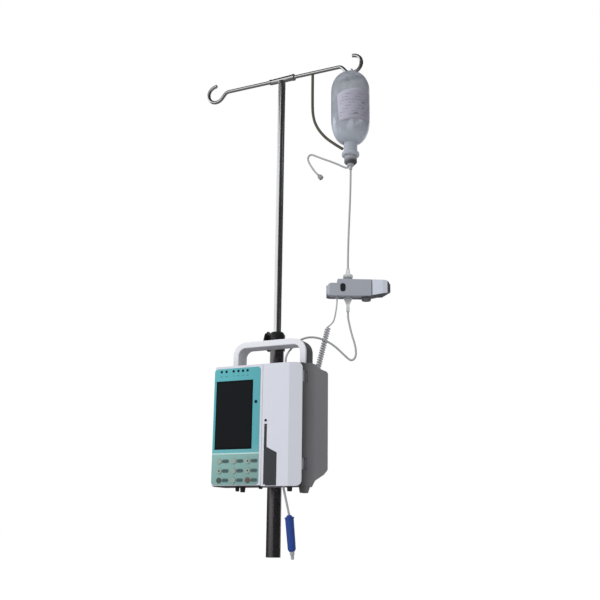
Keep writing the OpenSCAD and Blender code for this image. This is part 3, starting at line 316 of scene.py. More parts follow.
class Value:
    """A node socket that takes part in Python arithmetic."""

    def __init__(self, nodes, socket):
        self.nodes = nodes
        self.socket = socket

    def _math(self, operation, first, second):
        return self.nodes.node("ShaderNodeMath", {0: first, 1: second}, {"operation": operation})

    def __add__(self, other):
        return self._math("ADD", self, other)

    __radd__ = __add__

    def __sub__(self, other):
        return self._math("SUBTRACT", self, other)

    def __rsub__(self, other):
        return self._math("SUBTRACT", other, self)

    def __mul__(self, other):
        return self._math("MULTIPLY", self, other)

    __rmul__ = __mul__

    def __gt__(self, other):
        return self._math("GREATER_THAN", self, other)

    def __lt__(self, other):
        return self._math("LESS_THAN", self, other)

    def size(self):
        """The value without its sign."""
        return self._math("ABSOLUTE", self, 0)

    def either(self, other):
        """The larger of two values."""
        return self._math("MAXIMUM", self, other)


class Nodes:
    """A node tree to which nodes are added one by one."""

    def __init__(self, tree):
        self.tree = tree

    def node(self, kind, sockets=(), settings=(), out=0):
        """Adds a node, with its settings first and then its values and links."""
        node = self.tree.nodes.new(kind)
        for key, value in dict(settings).items():
            setattr(node, key, value)
        for key, value in dict(sockets).items():
            self.fill(node.inputs[key], value)
        return Value(self, node.outputs[out]) if node.outputs else None

    def fill(self, socket, value):
        """Sets or links one socket."""
        if isinstance(value, Value):
            self.tree.links.new(value.socket, socket)
        else:
            socket.default_value = value


class Finish(Nodes):
    """One material: a principled shader and the nodes that feed it."""

    def __init__(self, name, colour, roughness, metallic=0.0, **constants):
        self.name = name
        self.material = bpy.data.materials.new(name)
        self.material.use_nodes = True
        self.material.diffuse_color = (*colour, 1)
        super().__init__(self.material.node_tree)
        self.shader = self.tree.nodes["Principled BSDF"]
        self.put("Base Color", (*colour, 1))
        self.put("Roughness", roughness)
        self.put("Metallic", metallic)
        for socket, value in constants.items():
            self.put(socket.replace("_", " "), value)

    def put(self, socket, value):
        """Sets or links one socket of the shader."""
        self.fill(self.shader.inputs[socket], value)

    def own(self):
        """The piece's own coordinates."""
        return self.node("ShaderNodeTexCoord", out="Object")

    def axis(self, name):
        """X, Y or Z of the piece's own coordinates, in millimetres."""
        return self.node("ShaderNodeSeparateXYZ", {0: self.own()}, out=name) * (1 / MM)

    def noise(self, scale, detail=2.0, stretch=(1, 1, 1)):
        """Soft clouds, or lines where they are stretched."""
        place = self.node("ShaderNodeMapping", {"Vector": self.own(), "Scale": stretch})
        return self.node(
            "ShaderNodeTexNoise", {"Vector": place, "Scale": scale, "Detail": detail}, out="Fac")

    def mix(self, factor, first, second):
        """A colour between two colours."""
        first, second = (c if isinstance(c, Value) else (*c[:3], 1) for c in (first, second))
        return self.node(
            "ShaderNodeMix", {0: factor, 6: first, 7: second}, {"data_type": "RGBA"}, out=2)

    def shades(self, factor, colour, first, second):
        """A colour between two shades of one colour."""
        return self.mix(factor, shade(colour, first), shade(colour, second))

    def ramp(self, value, low, high):
        """0 below low, 1 above high, and even between."""
        return self.node(
            "ShaderNodeMapRange",
            {"Value": value, "From Min": low, "From Max": high, "To Min": 0.0, "To Max": 1.0})

    def bump(self, height, strength, distance):
        """Raises the surface by a value."""
        self.put("Normal", self.node(
            "ShaderNodeBump", {"Height": height, "Strength": strength, "Distance": distance}))

    def paint(self, colour):
        """Gives the surface a varying colour."""
        self.put("Base Color", colour)


def shade(colour, factor):
    """A colour made lighter or darker."""
    return tuple(min(1.0, c * factor) for c in colour)


# Roughness, scale and depth of the grain on finishes that share one
WHITE_GRAIN = (0.42, 1800, 0.08)
KEY_GRAIN = (0.5, 2400, 0.15)
INK_GRAIN = (0.6, 1400, 0.1)


def grained(name, colour, roughness=0.45, grain=2200, depth=0.12, **constants):
    """Moulded plastic or rubber in one colour, with a fine grain."""
    f = Finish(name, colour, roughness, **constants)
    fine = f.noise(grain, 2)
    f.put("Roughness", fine * 0.14 + (roughness - 0.07))
    f.bump(fine, depth, 0.0002)
    return f


def moulded(name, colour, roughness=0.45, grain=2200, depth=0.12, drift=0.06, **constants):
    """Moulded plastic or rubber with a slow drift of its colour."""
    f = grained(name, colour, roughness, grain, depth, **constants)
    f.paint(f.shades(f.noise(18, 3), colour, 1 - drift, 1 + drift))
    return f


def metal(name, colour, roughness, stretch, base=1.0, depth=0.04):
    """Bright metal with fine lines along its polishing."""
    f = Finish(name, colour, roughness, base)
    lines = f.noise(900, 3, stretch)
    cloud = f.noise(30, 3)
    f.put("Roughness", lines * 0.04 + cloud * 0.05 + (roughness - 0.045))
    f.paint(f.shades(cloud, colour, 0.92, 1.06))
    f.bump(lines, depth, 0.0001)
    return f


def case_finish(colour):
    """Rear shell: grained grey, with painted shade darkening it towards the front shell and painted light
    making it paler in the hinge notches.
    """
    f = Finish("case_grey", colour, 0.5)
    x, y, z = (f.axis(name) for name in "XYZ")
    # Painted shade, darkest where the rear shell meets the front shell
    seam_shade = f.shades(f.ramp(y, SEAM_SHADE_DARK_Y, SEAM_SHADE_MID_Y), colour, 0.2, 0.68)
    body = f.shades(f.noise(14, 3), colour, 0.98, 1.1)
    body = f.mix(f.ramp(y, SEAM_SHADE_MID_Y, SEAM_SHADE_CLEAR_Y), seam_shade, body)
    # Painted light: the hinge notches paler than the case, lifting the shade in them
    notch = (x > NOTCH_X[0]) * (x < NOTCH_X[1]) * (z > NOTCH_Z[0]) * (z < NOTCH_Z[1])
    f.paint(f.mix(notch * (y < NOTCH_BACK_Y), body, shade(colour, 1.15)))
    grain = f.noise(1500, 3)
    f.put("Roughness", grain * 0.2 + 0.42)
    f.bump(grain, 0.25, 0.0003)
    return f


def film_finish(cyan, keypad):
    """Front film: cyan round the screen, greyer round the keys, and a pale line between; painted light makes
    it paler at its left and painted shade darker towards its right and, round the keys, its bottom.
    """
    f = Finish("cyan_film", cyan, 0.35)
    z = f.axis("Z")
    slow = f.noise(10, 2)
    across = f.ramp(f.axis("X"), *FILM_X)
    # Painted light at the film's left, painted shade at its right
    upper = f.shades(across, cyan, 1.1, 0.88)
    upper = f.mix(slow * 0.3, upper, shade(cyan, 1.12))
    upper = f.mix(f.ramp(z, *KEYS_FADE_Z) * 0.3, upper, keypad)
    # Painted shade round the keys, darkest at their lower right
    painted_keys_shade = (across + f.ramp(z, KEYS_TOP_Z, FILM_LOW_Z)) * 0.5
    keys = f.shades(painted_keys_shade, keypad, 1.02, 0.62)
    keys = f.mix(slow * 0.2, keys, shade(keypad, 0.9))
    body = f.mix(z > KEYS_TOP_Z, keys, upper)
    line = (z - PALE_LINE_Z).size() < PALE_LINE_HALF
    f.paint(f.mix(line, body, srgb(196, 226, 226)))
    grain = f.noise(3000, 2)
    f.put("Roughness", grain * 0.15 + 0.3)
    f.bump(grain, 0.08, 0.0001)
    return f


def screen_finish(colour, cyan):
    """Screen window: dark glass, its display area slightly lighter, its left border printed."""
    f = Finish("dark_glass", colour, 0.3, Specular_IOR_Level=0.08)
    x = f.axis("X")
    inner = (x - DISPLAY_X).size() < DISPLAY_HALF_W
    inner = inner * ((f.axis("Z") - DISPLAY_Z).size() < DISPLAY_HALF_H)
    cloud = f.noise(22, 3)
    dark = f.mix(inner, shade(colour, 0.6), f.shades(cloud, colour, 0.95, 1.25))
    f.paint(f.mix(x > BORDER_X, cyan, dark))
    f.put("Roughness", cloud * 0.1 + 0.25)
    return f


def clouded_white(name, colour):
    """White moulded plastic, and its faintly clouded colour."""
    f = grained(name, colour, *WHITE_GRAIN)
    return f, f.shades(f.noise(12, 2), colour, 0.985, 1.015)


def door_finish(colour, grey):
    """Door: white face, grey where the hinge arms reach back along the case."""
    f, white = clouded_white("door_white", colour)
    f.paint(f.mix(f.axis("Y") > DOOR_BACK_Y, white, shade(grey, 1.05)))
    return f


def panel_finish(colour, dark):
    """Front shell: white, with painted shade darkening a lip along its bottom, where it faces down."""
    f, white = clouded_white("panel_white", colour)
    # Painted shade below the lip's top
    f.paint(f.mix(f.axis("Z") > LIP_SHADE_TOP_Z, shade(dark, 1.5), white))
    return f


def label_finish(colour):
    """Bottle label: matt paper, with painted light making it paler at its left edge and painted shade darker
    at its right.
    """
    f = grained("label_paper", colour, 0.55, 1400, 0.1)
    # Painted light at the label's left, painted shade at its right
    across = f.ramp(f.axis("X"), BOTTLE_X - 15, BOTTLE_X + BOTTLE_R)
    f.paint(f.shades(across, colour, 1.22, 0.86))
    return f


def sensor_finish(colour, dark):
    """Sensor housing: grey, with a paler end cap past its groove and a rim that darkens towards it; the
    rim's dark grey is partly the sole's own colour and partly painted shade of the underside.
    """
    f = grained("sensor_grey", colour, 0.4, 1800, 0.1)
    x, y, z = (f.axis(name) for name in "XYZ")
    along = (x - DRIP_END[0]) * math.cos(SENSOR_TURN) + y * math.sin(SENSOR_TURN)
    body = f.shades(f.noise(16, 2), colour, 0.97, 1.03)
    body = f.mix(along > END_CAP_U, body, shade(colour, 1.75))
    edge = f.ramp(along, RIM_RISE_U, END_RIM_U) * RIM_RISE + RIM_Z
    rim = (along > END_RIM_U) + (z < edge)
    # Rim: mid grey at the left, dark towards the end; partly the sole's colour, partly painted shade
    rim_sole_and_shade = f.mix(f.ramp(along, *RIM_TONE_U), shade(colour, 0.85), shade(dark, 1.9))
    f.paint(f.mix(rim, body, rim_sole_and_shade))
    return f


def cap_finish():
    """Bottle cap: a pale crimped band over a dark rubber face, which painted light makes paler at its left
    and painted shade darker at its right.
    """
    f = grained("cap_rubber", srgb(80, 80, 86), 0.5, 1600, 0.2)
    # Painted light at the face's left, painted shade at its right
    across = f.ramp(f.axis("X"), BOTTLE_X - NECK_R, BOTTLE_X + 6)
    face = f.mix(across, srgb(122, 123, 128), srgb(72, 72, 78))
    band = f.ramp(f.axis("Z"), CAP_FACE_Z, CAP_BAND_Z)
    f.paint(f.mix(band, face, srgb(158, 162, 169)))
    return f


def clear_wall(name, colour, clear, rim):
    """Clear wall with more body where it turns away from the eye, and its clouds."""
    f = Finish(name, colour, 0.22, Specular_IOR_Level=0.4)
    edge = f.node("ShaderNodeLayerWeight", {"Blend": 0.35}, out="Facing")
    cloud = f.noise(26, 3)
    f.put("Alpha", edge * rim + cloud * 0.08 + clear)
    return f, cloud


def wall_finish(name, colour, clear, rim):
    """Clear wall in one clouded colour."""
    f, cloud = clear_wall(name, colour, clear, rim)
    f.paint(f.shades(cloud, colour, 0.93, 1.05))
    return f


def bottle_finish(colour):
    """Bottle wall: clear plastic with pale streaks of painted reflection on its shoulder, paler towards its
    neck.
    """
    f, _ = clear_wall("clear_plastic", colour, 0.62, 0.38)
    z = f.axis("Z")
    cloud = f.noise(44, 3, (1, 1, 0.6))
    wall = f.shades(f.ramp(cloud, 0.3, 0.7), colour, 0.84, 1.16)
    # Painted reflection: pale streaks low on the wall
    reflection_streak = f.ramp(f.noise(70, 4, (1, 1, 0.45)), 0.47, 0.6)
    wall = f.mix(f.ramp(z, *REFLECTION_STREAK_Z) * reflection_streak, wall, shade(colour, 2.1))
    f.paint(f.mix(f.ramp(z, *PALE_NECK_Z), wall, shade(colour, 1.5)))
    return f


def make_finishes(c):
    """Every finish by its name."""
    upright, sideways, deep = (1, 1, 0.02), (0.02, 1, 1), (1, 0.05, 1)
    finishes = (
        metal("chrome", srgb(222, 222, 224), 0.14, upright, 1.0, 0.005),
        metal("rod_chrome", srgb(226, 226, 227), 0.14, sideways, 1.0, 0.005),
        metal("lower_chrome", srgb(114, 110, 113), 0.27, upright, 0.95, 0.005),
        metal("steel", srgb(196, 197, 200), 0.28, deep),
        metal("brass", srgb(214, 186, 118), 0.3, (1, 1, 0.05)),
        metal("cast_alloy", srgb(190, 192, 196), 0.45, (1, 1, 1), 1.0, 0.2),
        bottle_finish(c.bottle),
        wall_finish("chamber_wall", srgb(190, 194, 198), 0.3, 0.6),
        wall_finish("saline", srgb(214, 219, 226), 0.35, 0.15),
        cap_finish(),
        label_finish(c.label),
        sensor_finish(c.sensor, c.dark_grey),
        case_finish(c.grey),
        panel_finish(c.white, c.dark_grey),
        door_finish(c.white, c.grey),
        film_finish(c.cyan, c.keypad),
        screen_finish(c.screen, c.cyan),
        moulded("white_plastic", c.white, *WHITE_GRAIN, 0.015),
        # Handle: a lighter copy of the white plastic, partly painted light
        moulded("handle_white", c.handle, *WHITE_GRAIN, 0.015),
        moulded("black_plastic", srgb(32, 33, 35), 0.42),
        moulded("dark_grey_plastic", c.dark_grey, 0.5, 1700, 0.25),
        moulded("filter_grey", srgb(146, 146, 148), 0.4),
        moulded("pin_grey", srgb(104, 104, 110), 0.5),
        moulded("tip_grey", srgb(172, 175, 180), 0.35),
        moulded("blue_plastic", c.blue, 0.35, 2000, 0.1, 0.1),
        moulded("finger_plastic", srgb(222, 222, 216), 0.4),
        moulded("line_pvc", c.line, 0.3, 2600, 0.05, 0.05),
        moulded("cord_grey", srgb(190, 191, 195), 0.5, 2000, 0.15, 0.05),
        moulded("tether_rubber", c.tether, 0.5, 1900, 0.2, 0.1),
        moulded("rubber_black", srgb(44, 44, 48), 0.65, 1500, 0.3),
        moulded("key_cream", srgb(150, 165, 157), *KEY_GRAIN),
        moulded("key_olive", srgb(70, 82, 76), *KEY_GRAIN),
        moulded("key_red", srgb(106, 82, 75), *KEY_GRAIN),
        moulded("board_green", srgb(40, 106, 62), 0.4, 700, 0.2, 0.2),
        moulded("battery_wrap", srgb(72, 96, 150), 0.35, 900, 0.1, 0.08),
        moulded("black_metal", srgb(36, 36, 38), 0.4, 1300, 0.35),
        moulded("print_ink", srgb(54, 72, 74), *INK_GRAIN),
        moulded("label_ink", srgb(106, 105, 122), *INK_GRAIN),
        moulded("key_ink", srgb(76, 102, 102), 0.5, 2400, 0.1, 0.12),
        moulded("lamp_dark", srgb(10, 36, 46), 0.35, 2400, 0.05, Specular_IOR_Level=0.08),
        moulded("sensor_window", srgb(40, 44, 46), 0.2, 2400, 0.05),
    )
    return {f.name: f for f in finishes}


FINISH = {}


def finish_of(name):
    """The material of a finish. All are made on first use."""
    if not FINISH:
        FINISH.update(make_finishes(bpy.context.scene.drip_colours))
    return FINISH[name].material


def new_object(name, data):
    """A named object at the origin."""
    obj = bpy.data.objects.new(name, data)
    bpy.context.scene.collection.objects.link(obj)
    return obj


def smoothed(mesh, angle):
    """Shades a mesh smooth, with the edges past an angle kept sharp."""
    mesh.shade_smooth()
    mesh.set_sharp_from_angle(angle=math.radians(angle))


def mesh_object(name, points, faces, finish, angle=35):
    """A piece from points in millimetres."""
    mesh = bpy.data.meshes.new(name)
    mesh.from_pydata([tuple(v * MM for v in p) for p in points], [], faces)
    bm = bmesh.new()
    bm.from_mesh(mesh)
    bmesh.ops.remove_doubles(bm, verts=bm.verts, dist=1e-6)
    bmesh.ops.recalc_face_normals(bm, faces=bm.faces)
    bm.to_mesh(mesh)
    bm.free()
    smoothed(mesh, angle)
    mesh.materials.append(finish_of(finish))
    return new_object(name, mesh)


def box_mm(node):
    """A node's lowest and highest corners, in millimetres."""
    return [[v / MM for v in corner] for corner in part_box(node)]


def body_of(node):
    """The body that a node rides."""
    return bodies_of(NODES[node])[0]


def settle(obj, body, slot, *nodes):
    """Fixes a finished piece to its body and hides the nodes it stands for; its slot is not used."""
    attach(obj, body)
    if nodes:
        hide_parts(*nodes)
    return obj


def dressed(node, slot, width, finish=None, shaped=None):
    """A copy of a node, shaped further where asked, with its edges softened, in its finish."""
    mesh = NODES[node].data.copy()
    mesh.name = node + "_dressed"
    bm = bmesh.new()
    bm.from_mesh(mesh)
    bmesh.ops.remove_doubles(bm, verts=bm.verts, dist=1e-6)
    if width:
        bmesh.ops.dissolve_limit(
            bm, angle_limit=math.radians(0.5), verts=bm.verts, edges=bm.edges)
    bm.to_mesh(mesh)
    bm.free()
    mesh.materials.clear()
    mesh.materials.append(finish_of(finish or slot))
    obj = new_object(node + "_dressed", mesh)
    if shaped:
        shaped(obj)
    smoothed(obj.data, 35)
    soft = bpy.context.scene.drip_sizes.softness
    if width and soft:
        bevel = obj.modifiers.new("Softened edges", "BEVEL")
        bevel.width = width * soft * MM
        bevel.segments = 2
        bevel.limit_method = "ANGLE"
        bevel.angle_limit = math.radians(40)
        bevel.harden_normals = True
        bevel.use_clamp_overlap = True
    return settle(obj, body_of(node), slot, node)


def dress(*names):
    """Dresses nodes from the list of pieces."""
    for name in names:
        dressed(name, *PIECES[name])


def smooth_path(points, per=4):
    """Points of a smooth curve through the given ones."""
    pts = [Vector(p) for p in points]
    pts = [2 * pts[0] - pts[1], *pts, 2 * pts[-1] - pts[-2]]
    path = []
    for a, b, c, d in zip(pts, pts[1:], pts[2:], pts[3:]):
        for i in range(per):
            t = i / per
            path.append(0.5 * (
                2 * b + (c - a) * t + (2 * a - 5 * b + 4 * c - d) * t * t
                + (3 * b - a - 3 * c + d) * t ** 3))
    path.append(pts[-2])
    return path


def path_length(path):
    """The length of a path along its points."""
    return sum((b - a).length for a, b in zip(path, path[1:]))


def ring_faces(rings, sides):
    """Faces between rings of points that follow one another."""
    faces = []
    for i in range(rings - 1):
        for k in range(sides):
            a, b = i * sides + k, i * sides + (k + 1) % sides
            faces.append((a, b, b + sides, a + sides))
    return faces


def tube(name, path, radius, finish, sides=12):
    """A closed round tube along a path, both in millimetres."""
    points = []
    side = None
    for i, p in enumerate(path):
        ahead = (path[min(i + 1, len(path) - 1)] - path[max(i - 1, 0)]).normalized()
        if side is None:
            side = Vector((0, 1, 0)) if abs(ahead.y) < 0.9 else Vector((1, 0, 0))
        side = (side - side.dot(ahead) * ahead).normalized()
        across = ahead.cross(side)
        for k in range(sides):
            a = math.tau * k / sides
            points.append(p + radius * (side * math.cos(a) + across * math.sin(a)))
    faces = ring_faces(len(path), sides)
    faces += [tuple(reversed(range(sides))), tuple(range(len(points) - sides, len(points)))]
    return mesh_object(name, points, faces, finish, 60)


def lathe(name, profile, centre_x, finish, sides=96):
    """A turned closed piece from radius and height pairs that start and end on its axis."""
    points = []
    for r, z in profile:
        for k in range(sides):
            a = math.tau * k / sides
            points.append((centre_x + r * math.cos(a), r * math.sin(a), z))
    return mesh_object(name, points, ring_faces(len(profile), sides), finish)


def as_is(u, v, z):
    """A point given in the part's own frame."""
    return (u, v, z)


def on_sensor(u, v, z):
    """A point of the sensor's own frame, in the part's frame."""
    c, s = math.cos(SENSOR_TURN), math.sin(SENSOR_TURN)
    return (DRIP_END[0] + u * c - v * s, u * s + v * c, z)


def slab(name, outline, front, thick, finish, place=as_is):
    """A flat piece: an outline in two directions, given a thickness behind its front."""
    count = len(outline)
    points = [place(u, front, z) for u, z in outline]
    points += [place(u, front + thick, z) for u, z in outline]
    faces = [tuple(range(count)), tuple(reversed(range(count, 2 * count)))]
    for i in range(count):
        n = (i + 1) % count
        faces.append((i, i + count, n + count, n))
    return mesh_object(name, points, faces, finish)


def rounded_outline(u0, z0, u1, z1, r, steps=6):
    """A rectangle with round corners."""
    outline = []
    for cu, cz, start in (
            (u1 - r, z0 + r, -90), (u1 - r, z1 - r, 0), (u0 + r, z1 - r, 90), (u0 + r, z0 + r, 180)):
        for i in range(steps + 1):
            a = math.radians(start + 90 * i / steps)
            outline.append((cu + r * math.cos(a), cz + r * math.sin(a)))
    return outline


def baked(obj):
    """Turns a piece's modifiers into a plain mesh."""
    deps = bpy.context.evaluated_depsgraph_get()
    mesh = bpy.data.meshes.new_from_object(obj.evaluated_get(deps), depsgraph=deps)
    old = obj.data
    obj.modifiers.clear()
    obj.data = mesh
    bpy.data.meshes.remove(old)
    return obj


def carve(obj, tool, operation):
    """Cuts a piece by a tool, or keeps what the two share, and removes the tool."""
    cut = obj.modifiers.new("Carved", "BOOLEAN")
    cut.object = tool
    cut.operation = operation
    cut.solver = "EXACT"
    baked(obj)
    bpy.data.objects.remove(tool)


def stamp_tree():
    """Geometry nodes: a thin rounded plate on each point, upright and turned by its attribute."""
    tree = bpy.data.node_groups.get("Stamped marks")
    if tree:
        return tree
    tree = bpy.data.node_groups.new("Stamped marks", "GeometryNodeTree")
    face = tree.interface
    face.new_socket("Points", in_out="INPUT", socket_type="NodeSocketGeometry")
    for name in ("Width", "Height", "Corner", "Thickness"):
        face.new_socket(name, in_out="INPUT", socket_type="NodeSocketFloat")
    face.new_socket("Material", in_out="INPUT", socket_type="NodeSocketMaterial")
    face.new_socket("Marks", in_out="OUTPUT", socket_type="NodeSocketGeometry")

    nodes = Nodes(tree)
    given = {item.name: nodes.node("NodeGroupInput", out=item.name)
             for item in face.items_tree if item.in_out == "INPUT"}
    outline = nodes.node("GeometryNodeCurvePrimitiveQuadrilateral", {
        "Width": given["Width"], "Height": given["Height"]})
    rounded = nodes.node("GeometryNodeFilletCurve", {
        "Curve": outline, "Count": 5, "Radius": given["Corner"], "Limit Radius": True},
        {"mode": "POLY"})
    fill = nodes.node("GeometryNodeFillCurve", {"Curve": rounded}, {"mode": "NGONS"})
    top = nodes.node("GeometryNodeExtrudeMesh", {
        "Mesh": fill, "Offset Scale": given["Thickness"], "Individual": False},
        {"mode": "FACES"})
    under = nodes.node("GeometryNodeFlipFaces", {"Mesh": fill})
    whole = nodes.node("GeometryNodeJoinGeometry", {0: top})
    nodes.fill(whole.socket.node.inputs[0], under)
    closed = nodes.node("GeometryNodeMergeByDistance", {"Geometry": whole, "Distance": 1e-6})
    upright = nodes.node("GeometryNodeTransform", {
        "Geometry": closed, "Rotation": (math.pi / 2, 0, 0)})
    turn = nodes.node("GeometryNodeInputNamedAttribute", {"Name": "turn"}, {"data_type": "FLOAT"})
    spin = nodes.node("ShaderNodeCombineXYZ", {"Z": turn})
    spin = nodes.node("FunctionNodeEulerToRotation", {"Euler": spin})
    marks = nodes.node("GeometryNodeInstanceOnPoints", {
        "Points": given["Points"], "Instance": upright, "Rotation": spin})
    real = nodes.node("GeometryNodeRealizeInstances", {"Geometry": marks})
    coat = nodes.node("GeometryNodeSetMaterial", {
        "Geometry": real, "Material": given["Material"]})
    nodes.node("NodeGroupOutput", {"Marks": coat})
    return tree


def stamped(name, points, width, height, corner, thick, finish, turns=None):
    """Marks of one size on points, both in millimetres."""
    mesh = bpy.data.meshes.new(name)
    mesh.from_pydata([tuple(v * MM for v in p) for p in points], [], [])
    turn = mesh.attributes.new("turn", "FLOAT", "POINT")
    turn.data.foreach_set("value", turns or [0.0] * len(points))
    obj = new_object(name, mesh)
    tree = stamp_tree()
    modifier = obj.modifiers.new("Stamped marks", "NODES")
    modifier.node_group = tree
    sizes = {
        "Width": width * MM, "Height": height * MM, "Corner": corner * MM,
        "Thickness": thick * MM, "Material": finish_of(finish)}
    for item in tree.interface.items_tree:
        if item.in_out == "INPUT" and item.name in sizes:
            modifier[item.identifier] = sizes[item.name]
    baked(obj)
    if not obj.data.polygons:
        raise RuntimeError(name + ": no marks were made")
    return obj


def printed(name, places, *look, lift=0):
    """Marks on the front of the pump's film, at places given across and up."""
    front = box_mm("overlay")[0][1] - lift
    settle(stamped(name, [(x, front, z) for x, z in places], *look), "stand", "cyan_film")


def on_bottle(a, z, gap):
    """A point just off the bottle's side or shoulder, at an angle round it and a height."""
    lift = min(max((z - NECK_Z) / (SHOULDER_Z - NECK_Z), 0), 1)
    reach = NECK_R + (BOTTLE_R - NECK_R) * math.sin(math.acos(1 - lift)) + gap
    return (BOTTLE_X + reach * math.cos(a), reach * math.sin(a), z)


class PieceOperator(bpy.types.Operator):
    """Base of the operators that dress one group of pieces."""

    bl_options = {"INTERNAL"}

    def execute(self, context):
        self.make(context.scene.drip_sizes)
        return {"FINISHED"}


class DRIP_OT_pole(PieceOperator):
    """Dress the tubes, the collar, its lock knob and the hooks"""

    bl_idname = "drip.pole"
    bl_label = "Pole and Hooks"

    def make(self, sizes):
        dress("lower_tube", "collar", "lock_knob", "upper_tube", "guide_bush")
        dressed("t_fitting", *PIECES["t_fitting"], shaped=self.taper)
        dress("hook_left", "hook_right")

    def taper(self, fitting):
        """Narrows the left end of the T fitting to the rod."""
        low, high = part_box("t_fitting")
        ring = high[1]
        axis = high[2] - ring
        end, narrow = low[0] + 5 * MM, 0.8
        for v in fitting.data.vertices:
            reach = math.hypot(v.co.y, v.co.z - axis)
            if v.co.x < end and reach > narrow * ring:
                v.co.y *= narrow
                v.co.z = axis + (v.co.z - axis) * narrow


class DRIP_OT_bottle(PieceOperator):
    """Make the bottle, its label and what hangs from its mouth"""

    bl_idname = "drip.bottle"
    bl_label = "Bottle"

    def make(self, sizes):
        dress("saline", "bottle_cap", "spike", "vent_filter")
        settle(self.bottle(), "hanging_bottle", "clear_plastic", "bottle")
        settle(self.staple(), "hanging_bottle", "clear_plastic")
        for print_on in (self.label, self.strokes, self.bold_strokes):
            settle(print_on(), "hanging_bottle", "white_plastic")

    def bottle(self):
        """The bottle's outside with its hang groove cut."""
        steps = 20
        quarter = [math.pi / 2 * i / steps for i in range(steps + 1)]
        profile = [(0, MOUTH_Z), (NECK_R, MOUTH_Z)]
        profile += [(RING_R + r, RING_Z + z) for r, z in (
            (-2, -4), (-0.5, -3.2), (0, -2), (0, 2), (-0.5, 3.2), (-2, 4))]
        profile += [(NECK_R, RING_Z + 5), (NECK_R, NECK_Z - 4)]
        for a in quarter:
            profile.append((
                NECK_R + (BOTTLE_R - NECK_R) * math.sin(a),
                NECK_Z + (SHOULDER_Z - NECK_Z) * (1 - math.cos(a))))
        for a in quarter:
            profile.append((BOTTLE_R * max(math.cos(a), 0) ** 0.8, DOME_Z + DOME_H * math.sin(a)))
        body = lathe("bottle_wall", profile, BOTTLE_X, "clear_plastic")
        reach = BOTTLE_R + 5
        outline = rounded_outline(BOTTLE_X - reach, GROOVE_Z, BOTTLE_X + reach, DOME_Z + 90, 3)
        groove = slab("groove_cut", outline, -GROOVE_HALF, 2 * GROOVE_HALF, "clear_plastic")
        carve(body, groove, "DIFFERENCE")
        smoothed(body.data, 40)
        return body

    def staple(self):
        """The wire that bridges the groove and hangs on the hook."""
        x, y, top = STAPLE
        bend = 2.5
        path = [Vector((x, -y, GROOVE_Z + 1)), Vector((x, -y, top - bend))]
        for side, first in ((-1, 180), (1, 90)):
            for i in range(7):
                a = math.radians(first - 15 * i)
                path.append(Vector((
                    x, side * (y - bend) + bend * math.cos(a), top - bend + bend * math.sin(a))))
        path += [Vector((x, y, top - bend)), Vector((x, y, GROOVE_Z + 1))]
        return tube("bottle_staple", path, STAPLE_R, "white_plastic")

    def label(self):
        """A paper label wrapped on the bottle, with an arched top."""
        cols, rows = 40, 12
        left, right, slant = -112, 5, 8
        low_z, low_rise = 852.5, 6
        top_z, top_rise, arch, arch_span = 914, 2, 10, 1.33
        points, faces = [], []
        for j in range(rows + 1):
            for i in range(cols + 1):
                t, lift = i / cols, j / rows
                low = low_z + low_rise * t
                top = top_z + arch * math.sin(math.pi * min(t / arch_span, 1)) + top_rise * t
                a = math.radians(left + slant * (1 - t) * (1 - lift) + (right - left) * t)
                points.append(on_bottle(a, low + (top - low) * lift, 0.12))
        wide = cols + 1
        for j in range(rows):
            for i in range(cols):
                k = j * wide + i
                faces.append((k, k + 1, k + wide + 1, k + wide))
        obj = mesh_object("bottle_label", points, faces, "label_paper")
        thick = obj.modifiers.new("Paper", "SOLIDIFY")
        thick.thickness = 0.15 * MM
        thick.offset = 1
        return baked(obj)

    def strokes(self):
        """Rows of plain strokes on the label."""
        start, pitch = -98, 9.4
        low, spacing, lean = 864, 6.6, 0.35
        places = []
        for row in range(8):
            for col in range(11):
                ruled = row == 5 and 1 < col < 8
                if (row * 5 + col * 3) % 4 < 2 or ruled:
                    places.append((start + pitch * col, low + spacing * row + lean * col))
        return self.inked("label_strokes", places, STROKE, "label_ink")

    def bold_strokes(self):
        """A few darker strokes among the others."""
        places = ((-55, 867.5), (-49, 867.8), (-29, 881.5), (-28, 894.6))
        return self.inked("label_bold_strokes", places, BOLD_STROKE, "print_ink")

    def inked(self, name, places, size, finish):
        """Strokes on the label, at places given in degrees round the bottle and in height."""
        angles = [math.radians(degrees) for degrees, _ in places]
        points = [on_bottle(a, z, 0.3) for a, (_, z) in zip(angles, places)]
        turns = [a + math.pi / 2 for a in angles]
        return stamped(name, points, *size, finish, turns)


